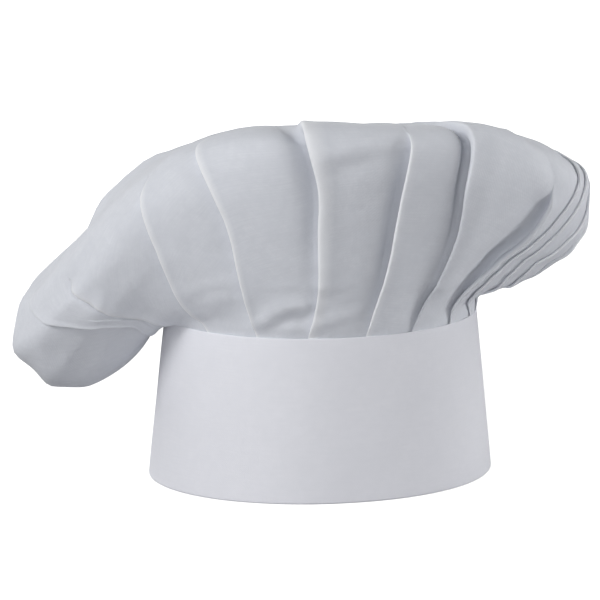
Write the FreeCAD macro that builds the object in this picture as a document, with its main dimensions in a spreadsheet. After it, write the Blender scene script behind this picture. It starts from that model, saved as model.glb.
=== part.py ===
"""Floppy pleated chef toque: a stiffened cloth headband with a hook-and-loop closure at the rear,
and a soft crown that leans to the wearer's right.

Frame: millimetres, +Z up, origin at the centre of the head opening in the plane of the band's
lower edge. -Y is the front, +Y the rear (where the closure is), +X the side the crown rises on
and -X the side it droops on. Rear angles (suffix _ang) are measured about Z from +Y towards +X,
in degrees. Crown directions are measured about Z from -Y towards +X, in degrees.
"""

import FreeCAD
import Part

import math
import os
import Sketcher

V = FreeCAD.Vector
doc = FreeCAD.newDocument("chef_toque")

# ---------------------------------------------------------------- driving dimensions
DIMS = [
    # alias, value, what it is
    ("rad_bottom", 96.0, "headband outer radius at its lower edge"),
    ("rad_top", 87.0, "headband outer radius at its upper edge"),
    ("band_height", 90.0, "headband height"),
    ("ply", 0.6, "one ply of twill"),
    ("ply_gap", 0.1, "clearance between plies"),
    ("stiff", 0.7, "interlining thickness"),
    ("tab_root_ang", 26.6, "rear angle where the tab leaves the band"),
    ("underlap_ang", 14.0, "rear angle where the underlap ends"),
    ("tab_tip_ang", -18.0, "rear angle of the tab's free end"),
    ("hinge_gap_ang", 0.35, "cloth gap at the tab's bend line"),
    ("tab_rise", 4.8, "how far the tab stands off the band over the tapes"),
    ("loop_thick", 1.0, "loop tape thickness"),
    ("hook_thick", 1.1, "hook tape thickness"),
    ("tape_clear", 0.05, "clearance between a tape and its cloth"),
    ("tape_low", 20.0, "height of the tapes' lower edge"),
    ("tape_high", 70.0, "height of the tapes' upper edge"),
    ("loop_start_ang", 12.0, "loop tape, end near the opening"),
    ("loop_end_ang", -46.0, "loop tape, far end"),
    ("hook_start_ang", 11.0, "hook tape, end near the bend"),
    ("hook_end_ang", -15.8, "hook tape, end near the tab's tip"),
    ("crown_wall", 1.2, "crown cloth, allowing for its pleated layers"),
    ("neck_rad", 84.0, "radius of the crown's neck inside the band"),
    ("crown_lean_max", 10.0, "largest lean of the crown, degrees"),
    ("slit_width", 18.0, "rear slit in the crown, at the band"),
    ("slit_height", 26.0, "rear slit in the crown, height above the band"),
    ("thread_rad", 0.17, "sewing thread radius"),
    ("stitch_len", 2.4, "visible length of a lockstitch"),
    ("stitch_pitch", 3.0, "lockstitch pitch"),
    ("label_wide", 26.0, "care label width"),
    ("label_drop", 34.0, "care label length"),
    ("label_thick", 0.35, "care label thickness"),
    ("label_ang", -74.0, "rear angle of the care label"),
    ("label_top", 62.0, "height of the care label's sewn edge"),
]
sheet = doc.addObject("Spreadsheet::Sheet", "Dims")
for row, (alias, value, note) in enumerate(DIMS, start=1):
    sheet.set(f"A{row}", alias)
    sheet.set(f"B{row}", str(value))
    sheet.set(f"C{row}", note)
    sheet.setAlias(f"B{row}", alias)
doc.recompute()


def dim(alias):
    return float(sheet.get(alias))


class Size(float):
    """A number that also carries the sheet expression it is worked out from.

    The Size has to be the left operand for the expression to be kept."""

    def __new__(cls, value, text):
        made_size = super().__new__(cls, value)
        made_size.text = text
        return made_size

    def join(self, symbol, other, value):
        other_text = getattr(other, "text", repr(other))
        return Size(value, f"({self.text} {symbol} {other_text})")

    def __add__(self, other):
        return self.join("+", other, float(self) + float(other))

    def __sub__(self, other):
        return self.join("-", other, float(self) - float(other))

    def __mul__(self, other):
        return self.join("*", other, float(self) * float(other))

    def __truediv__(self, other):
        return self.join("/", other, float(self) / float(other))


def size(alias):
    return Size(dim(alias), "Dims." + alias)


ZERO = Size(0, "0")
FULL_TURN = Size(360, "360")

BAND_HEIGHT = size("band_height")
TAPER = (size("rad_bottom") - size("rad_top")) / BAND_HEIGHT

# Depths inward from the outer face of the folded band, and of the tab
PLY = size("ply")
CORE_OUTER = PLY + size("ply_gap")
CORE_INNER = CORE_OUTER + size("stiff")
LINING_OUTER = CORE_INNER + size("ply_gap")
BAND_THICK = LINING_OUTER + PLY

TOP = dim("band_height")
TAB_ROOT = dim("tab_root_ang") - dim("hinge_gap_ang")
TAB_TIP = dim("tab_tip_ang")
UNDERLAP = dim("underlap_ang")
OPENING_MID = (dim("tab_root_ang") + UNDERLAP) / 2


def band_size(height, inward):
    """Radius on the band's cone at a height, moved inward, with its expression."""
    return size("rad_bottom") - TAPER * height - inward


def band_radius(z):
    return dim("rad_bottom") - float(TAPER) * z


def rear(ang, radius, z):
    """Point at a rear angle."""
    turn = math.radians(ang)
    return V(radius * math.sin(turn), radius * math.cos(turn), z)


made = []


def keep(obj, label):
    obj.Label = label
    made.append(obj)
    return obj


def add_feature(name, label, shape):
    feature = doc.addObject("Part::Feature", name)
    feature.Shape = shape
    return keep(feature, label)


# ---------------------------------------------------------------- revolved cloth strips
def plane_of(body, role):
    for feature in body.Origin.OriginFeatures:
        if feature.Role == role:
            return feature
    raise RuntimeError(role)


def bind_corner(sketch, corner, kind, distance):
    """Hold a profile corner at a distance from the origin, or on the X axis if that is zero."""
    if not distance:
        sketch.addConstraint(Sketcher.Constraint("PointOnObject", corner, 1, -1))
        return
    constraint = Sketcher.Constraint(kind, -1, 1, corner, 1, float(distance))
    index = sketch.addConstraint(constraint)
    sketch.setExpression(f"Constraints[{index}]", distance.text)


def revolved(name, corners, sweep, middle_ang):
    """A body revolved about Z from (height, inward depth) corners, all Sizes."""
    corners = [(band_size(height, inward), height) for height, inward in corners]
    points = [V(radius, height, 0) for radius, height in corners]
    body = doc.addObject("PartDesign::Body", name + "_body")
    sketch = body.newObject("Sketcher::SketchObject", name + "_profile")
    sketch.AttachmentSupport = [(plane_of(body, "XZ_Plane"), "")]
    sketch.MapMode = "FlatFace"
    count = len(points)
    sides = [Part.LineSegment(points[i], points[(i + 1) % count]) for i in range(count)]
    sketch.addGeometry(sides, False)
    for i in range(count):
        sketch.addConstraint(Sketcher.Constraint("Coincident", i, 2, (i + 1) % count, 1))
    for i, (radius, height) in enumerate(corners):
        bind_corner(sketch, i, "DistanceX", radius)
        bind_corner(sketch, i, "DistanceY", height)
    doc.recompute()
    turn = body.newObject("PartDesign::Revolution", name + "_revolve")
    turn.Profile = sketch
    turn.ReferenceAxis = (sketch, ["V_Axis"])
    turn.Midplane = True
    turn.setExpression("Angle", sweep.text)
    doc.recompute()
    # The profile lies in the half plane x > 0, which is rear angle 90.
    rotation = FreeCAD.Rotation(V(0, 0, 1), 90 - middle_ang)
    body.Placement = FreeCAD.Placement(V(0, 0, 0), rotation)
    doc.recompute()
    return keep(body, name)


def strip(name, low, high, inner, outer, sweep, middle_ang):
    """A strip lying on the band's cone between two heights and two inward depths."""
    corners = [(low, outer), (high, outer), (high, inner), (low, inner)]
    return revolved(name, corners, sweep, middle_ang)


def tape(name, low, high, inner, outer, start, end):
    """A strip between two rear angles."""
    return strip(name, low, high, inner, outer, start - end, (float(start) + float(end)) / 2)


BAND_SWEEP = FULL_TURN - (size("tab_root_ang") - size("underlap_ang"))
BAND_MID = OPENING_MID + 180

# Headband: one piece of twill folded lengthwise, so its section is a U that opens upwards.
revolved(
    "headband",
    [
        (ZERO, ZERO), (BAND_HEIGHT, ZERO), (BAND_HEIGHT, PLY), (PLY, PLY),
        (PLY, LINING_OUTER), (BAND_HEIGHT, LINING_OUTER),
        (BAND_HEIGHT, BAND_THICK), (ZERO, BAND_THICK),
    ],
    BAND_SWEEP,
    BAND_MID,
)

# Stiff strip between the two plies, kept short of the fold, the top and the ends
strip(
    "headband_interlining",
    low=PLY + 0.2,
    high=BAND_HEIGHT - 1.5,
    inner=CORE_INNER,
    outer=CORE_OUTER,
    sweep=BAND_SWEEP - 1.6,
    middle_ang=BAND_MID,
)

# Loop tape on the outside of the underlap, reaching past the tab so that the size can be set
loop_inner = ZERO - size("tape_clear")
tape(
    "loop_tape",
    low=size("tape_low"),
    high=size("tape_high"),
    inner=loop_inner,
    outer=loop_inner - size("loop_thick"),
    start=size("loop_start_ang"),
    end=size("loop_end_ang"),
)

# Hook tape under the tab
hook_outer = BAND_THICK - size("tab_rise") + size("tape_clear")
tape(
    "hook_tape",
    low=size("tape_low") + 0.5,
    high=size("tape_high") - 0.5,
    inner=hook_outer + size("hook_thick"),
    outer=hook_outer,
    start=size("hook_start_ang"),
    end=size("hook_end_ang"),
)

# ---------------------------------------------------------------- closure tab
# The tab is lofted, because it climbs over the tapes.
TAB_CURVE_POINTS = 25
TAB_FOLD = TAB_TIP + math.degrees(PLY / dim("rad_bottom"))  # rear angle inside the tip's fold
TAB_INSET = 0.4  # tab cloth below the band's top and above its lower edge
TAB_CORE_INSET = 1.2


def tab_stand_off(ang):
    """How far the tab's outer face stands off the band's cone at a rear angle."""
    flat = UNDERLAP - 0.4
    share = min(1.0, max(0.0, (TAB_ROOT - ang) / (TAB_ROOT - flat)))
    return dim("tab_rise") * share * share * (3 - 2 * share)


def tab_curve(inward, first, last, z):
    """Edge along the tab at a height and depth, with its first and last points."""
    points = []
    for i in range(TAB_CURVE_POINTS):
        ang = first + (last - first) * i / (TAB_CURVE_POINTS - 1)
        points.append(rear(ang, band_radius(z) + tab_stand_off(ang) - inward, z))
    curve = Part.BSplineCurve()
    curve.interpolate(points)
    return curve.toShape(), points[0], points[-1]


def zigzag_wire(curves):
    """Closed wire that runs along the curves out and back by turns, joined by straight ends."""
    edges = []
    for i, curve in enumerate(curves):
        following = curves[(i + 1) % len(curves)]
        end = 2 if i % 2 == 0 else 1
        edges += [curve[0], Part.LineSegment(curve[end], following[end]).toShape()]
    return Part.Wire(Part.__sortEdges__(edges))


def tab_cloth_wire(z):
    """U that opens at the bend line: outer ply, fold at the tip, inner ply."""
    return zigzag_wire([
        tab_curve(0, TAB_ROOT, TAB_TIP, z),
        tab_curve(BAND_THICK, TAB_ROOT, TAB_TIP, z),
        tab_curve(LINING_OUTER, TAB_ROOT, TAB_FOLD, z),
        tab_curve(PLY, TAB_ROOT, TAB_FOLD, z),
    ])


def tab_core_wire(z):
    first, last = TAB_ROOT - 0.8, TAB_FOLD + 0.3
    depths = (CORE_OUTER, CORE_INNER)
    return zigzag_wire([tab_curve(depth, first, last, z) for depth in depths])


def tab_loft(wire_at, inset):
    return Part.makeLoft([wire_at(inset), wire_at(TOP - inset)], True, True)


add_feature("closure_tab_loft", "closure_tab", tab_loft(tab_cloth_wire, TAB_INSET))
add_feature(
    "closure_tab_interlining_loft",
    "closure_tab_interlining",
    tab_loft(tab_core_wire, TAB_CORE_INSET),
)

# ---------------------------------------------------------------- crown
# Sections of the crown every 45 degrees from the front, each as (radius, height above the
# band's top) at levels 0 (the seam) to 10 (the apex)
PROFILES = [
    # 0, the front
    [(86.2, 0), (87.5, 7), (94, 24), (101, 48), (108, 75), (113.5, 101),
     (107, 117), (88, 120.5), (60, 115), (30, 109), (0, 105)],
    # 45
    [(86.2, 0), (87.5, 7), (98, 22), (112, 42), (124, 66), (133, 90),
     (128, 107.5), (107, 115.5), (72, 113), (35, 109), (0, 105)],
    # 90, the +X side
    [(86.2, 0), (85.6, 7), (97, 13.5), (114, 18.5), (132, 27), (150, 55),
     (147, 76), (128, 87), (96, 100), (45, 106), (0, 105)],
    # 135
    [(86.2, 0), (89, 6), (103, 13), (120, 24), (134, 40), (144, 58),
     (138, 72), (116, 84), (82, 94), (42, 102), (0, 105)],
    # 180, the rear
    [(86.2, 0), (90, 5), (103, 11), (118, 20), (130, 33), (135, 53),
     (126, 70), (102, 83), (70, 92), (36, 100), (0, 105)],
    # 225
    [(86.2, 0), (91, -2), (106, -6), (126, -3), (143, 8), (152, 26),
     (141, 46), (112, 66), (76, 83), (38, 97), (0, 105)],
    # 270, the -X side, where the crown droops beside the band
    [(86.2, 0), (91, -7), (104, -19), (120, -31), (146, -36), (169, -14),
     (162, 15), (132, 47), (100, 84), (50, 103.5), (0, 105)],
    # 315
    [(86.2, 0), (87.5, 6), (97, 18), (108, 34), (119, 53), (126, 76),
     (121, 92), (104, 105), (72, 110.5), (36, 109), (0, 105)],
]
LEAN = math.sin(math.radians(dim("crown_lean_max")))
NECK_RAD = dim("neck_rad")
CROWN_WALL = dim("crown_wall")
AROUND = 48  # sections round the crown
UP = 30  # steps up each section above the band's edge
LEVEL_START, LEVEL_END, LEVEL_STEP = 1.6, 9.8, 0.05  # levels sampled from the profiles
APEX_RAD = 6  # radius of the last ring of poles
EDGE_RAD = 89.6  # where the cloth has passed over the band's edge
EDGE_RISE = 4.8  # its height there, above the allowance for the lean


def front(direction, radius, z):
    """Point at a crown direction."""
    turn = math.radians(direction)
    return V(radius * math.sin(turn), -radius * math.cos(turn), z)


def catmull_rom(points, share):
    """Point between the second and third of four (radius, height) points."""
    return [
        0.5 * (
            2 * p1
            + (p2 - p0) * share
            + (2 * p0 - 5 * p1 + 4 * p2 - p3) * share * share
            + (3 * p1 - p0 - 3 * p2 + p3) * share ** 3
        )
        for p0, p1, p2, p3 in zip(*points)
    ]


def along(profile, level):
    """Radius and height at a level from 1 up to the apex."""
    beyond = (-profile[-2][0], profile[-2][1])  # the profile carries on across the axis
    i = int(level)
    return catmull_rom((profile + [beyond])[i - 1:i + 3], level - i)


def crown_rz(direction, level):
    position = direction / 45.0
    i = int(position)
    around = [along(PROFILES[(i + j) % 8], level) for j in (-1, 0, 1, 2)]
    return catmull_rom(around, position - i)


def even_steps(points, steps):
    """Points that divide a polyline into equal lengths, without its first and last."""
    lengths = [0.0]
    for here, after in zip(points, points[1:]):
        lengths.append(lengths[-1] + math.hypot(after[0] - here[0], after[1] - here[1]))
    spaced = []
    for i in range(1, steps):
        target = lengths[-1] * i / steps
        k = max(j for j in range(len(lengths) - 1) if lengths[j] <= target)
        share = (target - lengths[k]) / (lengths[k + 1] - lengths[k])
        spaced.append(tuple(a + (b - a) * share for a, b in zip(points[k], points[k + 1])))
    return spaced


def crown_section(direction):
    """Poles of the crown's section, as (radius, height above the band's top), from the hem up.

    The neck is part of a ball about the seam's centre, so that the crown can lean inside the
    band, and the cloth passes over the band's edge high enough to clear it at the largest lean.
    """
    x = math.sin(math.radians(direction))
    hem = -12 + 10 * x
    lift = dim("rad_top") * LEAN * (x + math.sqrt(x * x + 0.02)) / 2
    neck_top = lift + 1.2
    edge_height = lift + EDGE_RISE
    neck_heights = (hem, hem * 0.67, hem * 0.33, 0.3, lift * 0.5 + 0.7, neck_top)
    poles = [(math.sqrt(NECK_RAD ** 2 - z * z), z) for z in neck_heights]
    poles += [
        (poles[-1][0] + 0.5, lift + 3.2),
        (86.6, edge_height),
        (EDGE_RAD, edge_height),
    ]
    fine = [poles[-1]]
    level = LEVEL_START
    while level < LEVEL_END:
        radius, height = crown_rz(direction, level)
        if x > -0.3:  # away from the drooping side the cloth stays above the band's edge
            height = max(height, edge_height - (radius - EDGE_RAD))
        fine.append((radius, height))
        level += LEVEL_STEP
    return poles + even_steps(fine, UP)


def outer_poles():
    sections = [crown_section(360.0 * i / AROUND) for i in range(AROUND)]
    apex = sum(section[-1][1] for section in sections) / AROUND
    net = []
    for i, section in enumerate(sections):
        rings = section + [(APEX_RAD, apex)]
        net.append([front(360.0 * i / AROUND, radius, TOP + z) for radius, z in rings])
    return net


def inner_poles(outer):
    """The outer net moved into the bag along its normals, and straight down at the apex."""
    last = len(outer[0]) - 1
    net = []
    for i, column in enumerate(outer):
        moved = []
        for j in range(last):
            across = outer[(i + 1) % AROUND][j] - outer[i - 1][j]
            upward = column[j + 1] - column[max(j - 1, 0)]
            outward = across.cross(upward)
            outward.normalize()
            moved.append(column[j] - outward * CROWN_WALL)
        moved.append(column[last] - V(0, 0, CROWN_WALL))
        net.append(moved)
    return net


def cloth_surface(net):
    """Cubic surface, periodic round the crown and clamped at the hem and the apex."""
    rows = len(net[0])
    surface = Part.BSplineSurface()
    surface.buildFromPolesMultsKnots(
        net,
        [1] * (AROUND + 1),
        [4] + [1] * (rows - 4) + [4],
        [float(i) for i in range(AROUND + 1)],
        [float(i) for i in range(rows - 2)],
        True,
        False,
        3,
        3,
    )
    return surface


def end_edge(face, index):
    """Closed edge of a face: index 0 is the lowest, -1 the highest."""
    closed = [edge for edge in face.Edges if edge.isClosed()]
    closed.sort(key=lambda edge: edge.BoundBox.Center.z)
    return closed[index]


def crown_bag(outer_face, inner_face):
    """Solid between the two faces, closed along the hem and at the apex."""
    hem_face = Part.makeRuledSurface(end_edge(outer_face, 0), end_edge(inner_face, 0))
    caps = [Part.Face(Part.Wire([end_edge(face, -1)])) for face in (outer_face, inner_face)]
    skin = Part.makeCompound([outer_face, inner_face, hem_face] + caps)
    skin.sewShape(1e-4)
    shells = skin.Shells
    solid = Part.Solid(shells[0])
    # If sewing leaves two shells, the smaller one is the hollow.
    if len(shells) == 2:
        big, small = sorted(shells, key=lambda shell: -abs(Part.Solid(shell).Volume))
        solid = Part.Solid(big).cut(Part.Solid(small))
    if solid.Volume < 0:
        solid.reverse()
    return solid


def slit_wedge():
    """Cutter for the rear slit, above the gap between the band's ends."""
    outward = rear(OPENING_MID, 1, 0)
    sideways = V(outward.y, -outward.x, 0)
    half, tall = dim("slit_width") / 2, dim("slit_height")
    tip_half = 0.8
    outline = [  # sideways, height above the band's top
        (-half, -30), (half, -30),
        (half, 2), (half * 0.62, tall * 0.55), (tip_half, tall),
        (-tip_half, tall), (-half * 0.62, tall * 0.55), (-half, 2),
    ]
    base = outward * 50
    corners = [base + sideways * across + V(0, 0, TOP + z) for across, z in outline]
    return Part.Face(Part.makePolygon(corners + [corners[0]])).extrude(outward * 110)


outer_net = outer_poles()
outer_surface = cloth_surface(outer_net)
inner_surface = cloth_surface(inner_poles(outer_net))
crown = crown_bag(outer_surface.toShape(), inner_surface.toShape()).cut(slit_wedge())
add_feature("crown_shell", "crown", crown.Solids[0] if len(crown.Solids) == 1 else crown)

# ---------------------------------------------------------------- stitching
THREAD_RAD = dim("thread_rad")
HALF_STITCH = dim("stitch_len") / 2
PITCH = dim("stitch_pitch")
THREAD_LIFT = THREAD_RAD + 0.04  # thread's centre line above the cloth

# Distances of the threads' centre lines outward from the band's cone
ON_BAND = THREAD_LIFT
ON_LOOP = dim("tape_clear") + dim("loop_thick") + THREAD_LIFT
ON_TAB = dim("tab_rise") + THREAD_LIFT
INSIDE_BAND = -float(BAND_THICK) - THREAD_LIFT

EDGE_MARGIN = 3.0  # edge stitching, from the band's upper and lower edges
TAPE_MARGIN = 2.2  # tape stitching, from the tape's upper and lower edges
TAPE_MARGIN_ANG = 1.2  # tape stitching, from the tape's ends
CORNER_GAP = 0.8  # a row up the band stops short of the corner
CORNER_GAP_ANG = 0.6  # a row round the band stops short of the corner
UNDERLAP_ROW = UNDERLAP - 1.0


def stitch(start, end):
    axis = end - start
    return Part.makeCylinder(THREAD_RAD, axis.Length, start, axis)


def row_round(stand_off, z, first, last):
    """Stitches along a circle at a height, between two rear angles."""
    radius = band_radius(z) + stand_off
    count = max(1, int(abs(math.radians(last - first)) * radius / PITCH))
    half_ang = math.degrees(HALF_STITCH / radius)
    end_radius = radius / math.cos(math.radians(half_ang))
    stitches = []
    for i in range(count):
        mid = first + (last - first) * (i + 0.5) / count
        start, end = (rear(mid + turn, end_radius, z) for turn in (-half_ang, half_ang))
        stitches.append(stitch(start, end))
    return stitches


def row_up(stand_off, ang, low, high):
    """Stitches up the band's slope at a rear angle."""
    count = max(1, int((high - low) / PITCH))
    stitches = []
    for i in range(count):
        mid = low + (high - low) * (i + 0.5) / count
        heights = (mid - HALF_STITCH, mid + HALF_STITCH)
        start, end = (rear(ang, band_radius(z) + stand_off, z) for z in heights)
        stitches.append(stitch(start, end))
    return stitches


def tape_rows(stand_off, start_ang, end_ang):
    """Rows round all four sides of a tape."""
    low, high = dim("tape_low") + TAPE_MARGIN, dim("tape_high") - TAPE_MARGIN
    start, end = start_ang - TAPE_MARGIN_ANG, end_ang + TAPE_MARGIN_ANG
    rows = []
    for z in (low, high):
        rows += row_round(stand_off, z, end + CORNER_GAP_ANG, start - CORNER_GAP_ANG)
    for ang in (start, end):
        rows += row_up(stand_off, ang, low + CORNER_GAP, high - CORNER_GAP)
    return rows


def tab_edge_rows():
    """Rows along the tab's two long edges and its free end."""
    tip = TAB_TIP + 1.3
    rows = []
    for z in (EDGE_MARGIN, TOP - EDGE_MARGIN):
        rows += row_round(ON_TAB, z, tip + CORNER_GAP_ANG, UNDERLAP_ROW)
    corner = EDGE_MARGIN + CORNER_GAP
    return rows + row_up(ON_TAB, tip, corner, TOP - corner)


def add_threads(name, label, solids):
    return add_feature(name, label, Part.makeCompound(solids))


add_threads(
    "loop_tape_threads",
    "loop_tape_stitching",
    tape_rows(ON_LOOP, dim("loop_start_ang"), dim("loop_end_ang")),
)
add_threads(
    "hook_tape_threads",
    "hook_tape_stitching",
    tape_rows(ON_TAB, dim("hook_start_ang"), dim("hook_end_ang")),
)
add_threads("tab_edge_threads", "closure_tab_edge_stitching", tab_edge_rows())
add_threads(
    "underlap_threads",
    "underlap_edge_stitching",
    row_up(ON_BAND, UNDERLAP_ROW, EDGE_MARGIN, TOP - EDGE_MARGIN),
)
# Lockstitch that closes the band's inner ply over the crown's raw edge, just below the top
add_threads(
    "crown_seam_threads",
    "crown_seam_stitching",
    row_round(INSIDE_BAND, TOP - 2.5, dim("tab_root_ang") + 1.0, UNDERLAP + 359.0),
)


def bar_tack(ang, z):
    """Rounded bar lying round the outside of the band."""
    length, thick, tall = 8.0, 0.5, 1.8
    bar = Part.makeBox(length, thick, tall, V(-length / 2, -thick / 2, -tall / 2))
    bar = bar.makeFillet(0.2, [edge for edge in bar.Edges if edge.BoundBox.YLength < 1e-6])
    centre = rear(ang, band_radius(z) + 0.32, z)
    bar.Placement = FreeCAD.Placement(centre, FreeCAD.Rotation(V(0, 0, 1), -ang))
    return bar


# Bar tacks that hold the two corners of the opening
add_threads(
    "opening_tacks",
    "opening_bartacks",
    [bar_tack(dim("tab_root_ang") + 3.4, TOP - 4.0), bar_tack(UNDERLAP - 4.0, TOP - 8.0)],
)

# ---------------------------------------------------------------- care label
# A blank label hanging inside the lining. Its frame is at the middle of its sewn edge, on the
# face towards the lining, with local Y outward.
LABEL_WIDE, LABEL_TOP = dim("label_wide"), dim("label_top")
LABEL_STITCHES = 8
LABEL_STITCH_START = 2.2  # middle of the first stitch, from the label's side
LABEL_STITCH_PITCH = 3.08
LABEL_STITCH_RISE = 0.9  # stitches above the label's sewn edge

lining_rad = band_radius(LABEL_TOP) - float(BAND_THICK)
label_rad = math.sqrt(lining_rad ** 2 - (LABEL_WIDE / 2) ** 2) - 0.5
label_frame = FreeCAD.Placement(
    rear(dim("label_ang"), label_rad, LABEL_TOP),
    FreeCAD.Rotation(V(0, 0, 1), -dim("label_ang")),
)
label_corner = V(-LABEL_WIDE / 2, -dim("label_thick"), -dim("label_drop"))
care_label = doc.addObject("Part::Box", "care_label_box")
care_label.setExpression("Length", "Dims.label_wide")
care_label.setExpression("Width", "Dims.label_thick")
care_label.setExpression("Height", "Dims.label_drop")
care_label.Placement = label_frame.multiply(
    FreeCAD.Placement(label_corner, FreeCAD.Rotation())
)
keep(care_label, "care_label")

label_stitches = []
for i in range(LABEL_STITCHES):
    x = -LABEL_WIDE / 2 + LABEL_STITCH_START + i * LABEL_STITCH_PITCH
    start = label_frame.multVec(V(x - HALF_STITCH, 0, LABEL_STITCH_RISE))
    end = label_frame.multVec(V(x + HALF_STITCH, 0, LABEL_STITCH_RISE))
    label_stitches.append(stitch(start, end))
add_threads("label_threads", "care_label_stitching", label_stitches)


# ---------------------------------------------------------------- slit bar tack
def slit_tack():
    """Rounded bar at the top of the rear slit, lying on the crown's outer surface."""
    u = AROUND * (180 - OPENING_MID) / 360.0
    v = 8.0
    # Climb the surface to just above the slit.
    while outer_surface.value(u, v).z < TOP + dim("slit_height") + 2.4:
        v += 0.02
    spot = outer_surface.value(u, v)
    across = outer_surface.value(u + 0.1, v) - outer_surface.value(u - 0.1, v)
    upward = outer_surface.value(u, v + 0.1) - outer_surface.value(u, v - 0.1)
    normal = across.cross(upward)
    normal.normalize()
    across.normalize()
    third = normal.cross(across)
    axes = FreeCAD.Matrix(
        across.x, third.x, normal.x, 0,
        across.y, third.y, normal.y, 0,
        across.z, third.z, normal.z, 0,
        0, 0, 0, 1,
    )
    length, width, thick = 9.0, 2.0, 0.6
    bar = Part.makeBox(length, width, thick, V(-length / 2, -width / 2, 0))
    bar = bar.makeFillet(0.25, [edge for edge in bar.Edges if edge.BoundBox.ZLength > 0.5])
    rotation = FreeCAD.Placement(axes).Rotation
    bar.Placement = FreeCAD.Placement(spot + normal * 0.75, rotation)
    return bar


add_feature("slit_tack", "slit_bartack", slit_tack())

# ---------------------------------------------------------------- checks and export
doc.recompute()
for obj in doc.Objects:
    if "Invalid" in obj.State or "Error" in obj.State:
        raise RuntimeError(f"{obj.Label}: {obj.State}")
os.makedirs("parts", exist_ok=True)
for obj in made:
    shape = obj.Shape
    if shape.isNull() or not shape.isValid() or not shape.Solids:
        raise RuntimeError(f"{obj.Label}: bad shape")
    shape.exportStep(os.path.join("parts", obj.Label + ".step"))
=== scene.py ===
"""A white twill hat: a stiff tapering headband with a loose pleated crown that hangs over it.

The hat stands upright on z = 0 about the Z axis, its front towards -Y. The headband opens near the
rear, where a tab with hook tape closes on loop tape. The crown has a hemmed slit near the rear.

The design is in millimetres; meshes are scaled to metres as they are made. Two kinds of angle
are used, both in degrees:
  rear angle  from +Y towards +X, on the headband
  direction   from -Y towards +X, on the crown (0 front, 90 the +X side, 180 rear)
"""
import math

import bpy
import numpy as np
from mathutils import Matrix, Vector


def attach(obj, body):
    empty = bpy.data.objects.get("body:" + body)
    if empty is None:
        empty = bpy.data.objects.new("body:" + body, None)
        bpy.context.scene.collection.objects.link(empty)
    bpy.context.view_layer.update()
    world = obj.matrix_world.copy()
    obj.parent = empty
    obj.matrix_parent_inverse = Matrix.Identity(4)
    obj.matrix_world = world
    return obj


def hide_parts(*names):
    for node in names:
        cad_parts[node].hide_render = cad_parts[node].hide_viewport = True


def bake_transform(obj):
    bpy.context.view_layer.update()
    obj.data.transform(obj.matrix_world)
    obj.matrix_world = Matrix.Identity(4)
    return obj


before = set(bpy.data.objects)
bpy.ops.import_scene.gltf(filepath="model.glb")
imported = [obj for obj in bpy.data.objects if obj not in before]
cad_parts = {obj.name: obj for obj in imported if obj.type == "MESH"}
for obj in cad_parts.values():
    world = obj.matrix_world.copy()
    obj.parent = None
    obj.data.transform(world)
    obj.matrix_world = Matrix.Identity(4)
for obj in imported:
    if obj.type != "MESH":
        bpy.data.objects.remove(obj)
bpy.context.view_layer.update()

MM = 0.001
RNG = np.random.RandomState(7)  # shared by the loop pile and the stitch rows, in that order

# Headband
SEAM = 90.0  # height of its top, where the crown is sewn on
RIM = 96.0  # outer radius at its lower edge
TAPER = 9.0 / SEAM  # loss of radius per mm of height
PLY = 0.42  # thickness of one layer of twill
OUTER_PLY = -PLY / 2  # middles of its layers, as offsets from the outer face
TURNED_PLY = -0.66
INNER_PLY = -1.86
BAND_BACK = INNER_PLY - PLY / 2
CORE_THICK = 0.70

# Opening and closure tab, as rear angles
TAB_ROOT = 26.6
UNDERLAP = 14.0  # the band's far end, under the tab
TAB_TIP = -18.0
OPENING_MID = (TAB_ROOT + UNDERLAP) / 2
TAB_RISE = 4.8  # how far the tab steps out to lie over the underlap
TAB_HALF = 1.05  # half its thickness

pieces = []  # (object, name of its look)


# ---- helpers
def smooth(values, low, high):
    """0 up to low, 1 from high on, an S curve between."""
    t = np.clip((np.asarray(values, float) - low) / (high - low), 0.0, 1.0)
    return t * t * (3 - 2 * t)


def unit(vectors):
    return vectors / np.maximum(np.linalg.norm(vectors, axis=-1, keepdims=True), 1e-9)


def new_mesh(name, points, faces):
    mesh = bpy.data.meshes.new(name)
    scaled = [tuple(point) for point in np.asarray(points, float) * MM]
    mesh.from_pydata(scaled, [], [tuple(int(i) for i in face) for face in faces])
    mesh.validate()
    mesh.update()
    mesh.shade_smooth()
    ob = bpy.data.objects.new(name, mesh)
    bpy.context.scene.collection.objects.link(ob)
    return ob


def set_uv(ob, vertex_uv):
    """Lay out the "cloth" UV map from one pair per vertex, in mm."""
    mesh = ob.data
    layer = mesh.uv_layers.new(name="cloth")
    corners = np.zeros(len(mesh.loops), np.int32)
    mesh.loops.foreach_get("vertex_index", corners)
    layer.data.foreach_set("uv", np.asarray(vertex_uv * MM, np.float32)[corners].ravel())


def set_attribute(ob, name, values):
    attribute = ob.data.attributes.new(name, "FLOAT", "POINT")
    attribute.data.foreach_set("value", values.astype(np.float32))


def finish(ob, slot, replaces=None, look=None):
    """Hide the CAD part that a piece replaces, and note the look it gets later."""
    if replaces:
        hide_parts(replaces)
    pieces.append((ob, look or slot))


def bend(ob):
    """Bake ob's transform into its mesh."""
    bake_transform(ob)


def wave_noise(angle, height, seed, scale):
    """Smooth repeatable noise, about -1..1, that closes on itself round 360 degrees."""
    rng = np.random.RandomState(seed)
    total = np.zeros(np.broadcast(angle, height).shape)
    turn = np.radians(angle)
    strengths = (1.0, 0.5)
    for strength in strengths:
        for _ in range(5):
            waves = rng.randint(1, int(scale)) * (1 if rng.rand() < 0.5 else -1)
            rise = rng.uniform(0.3, 1.0) * scale / 95.0
            phase = rng.uniform(0, 6.28)
            total = total + strength * np.sin(waves * turn + rise * height + phase) / 2.2
        scale *= 2.0
    return total / sum(strengths)


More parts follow.
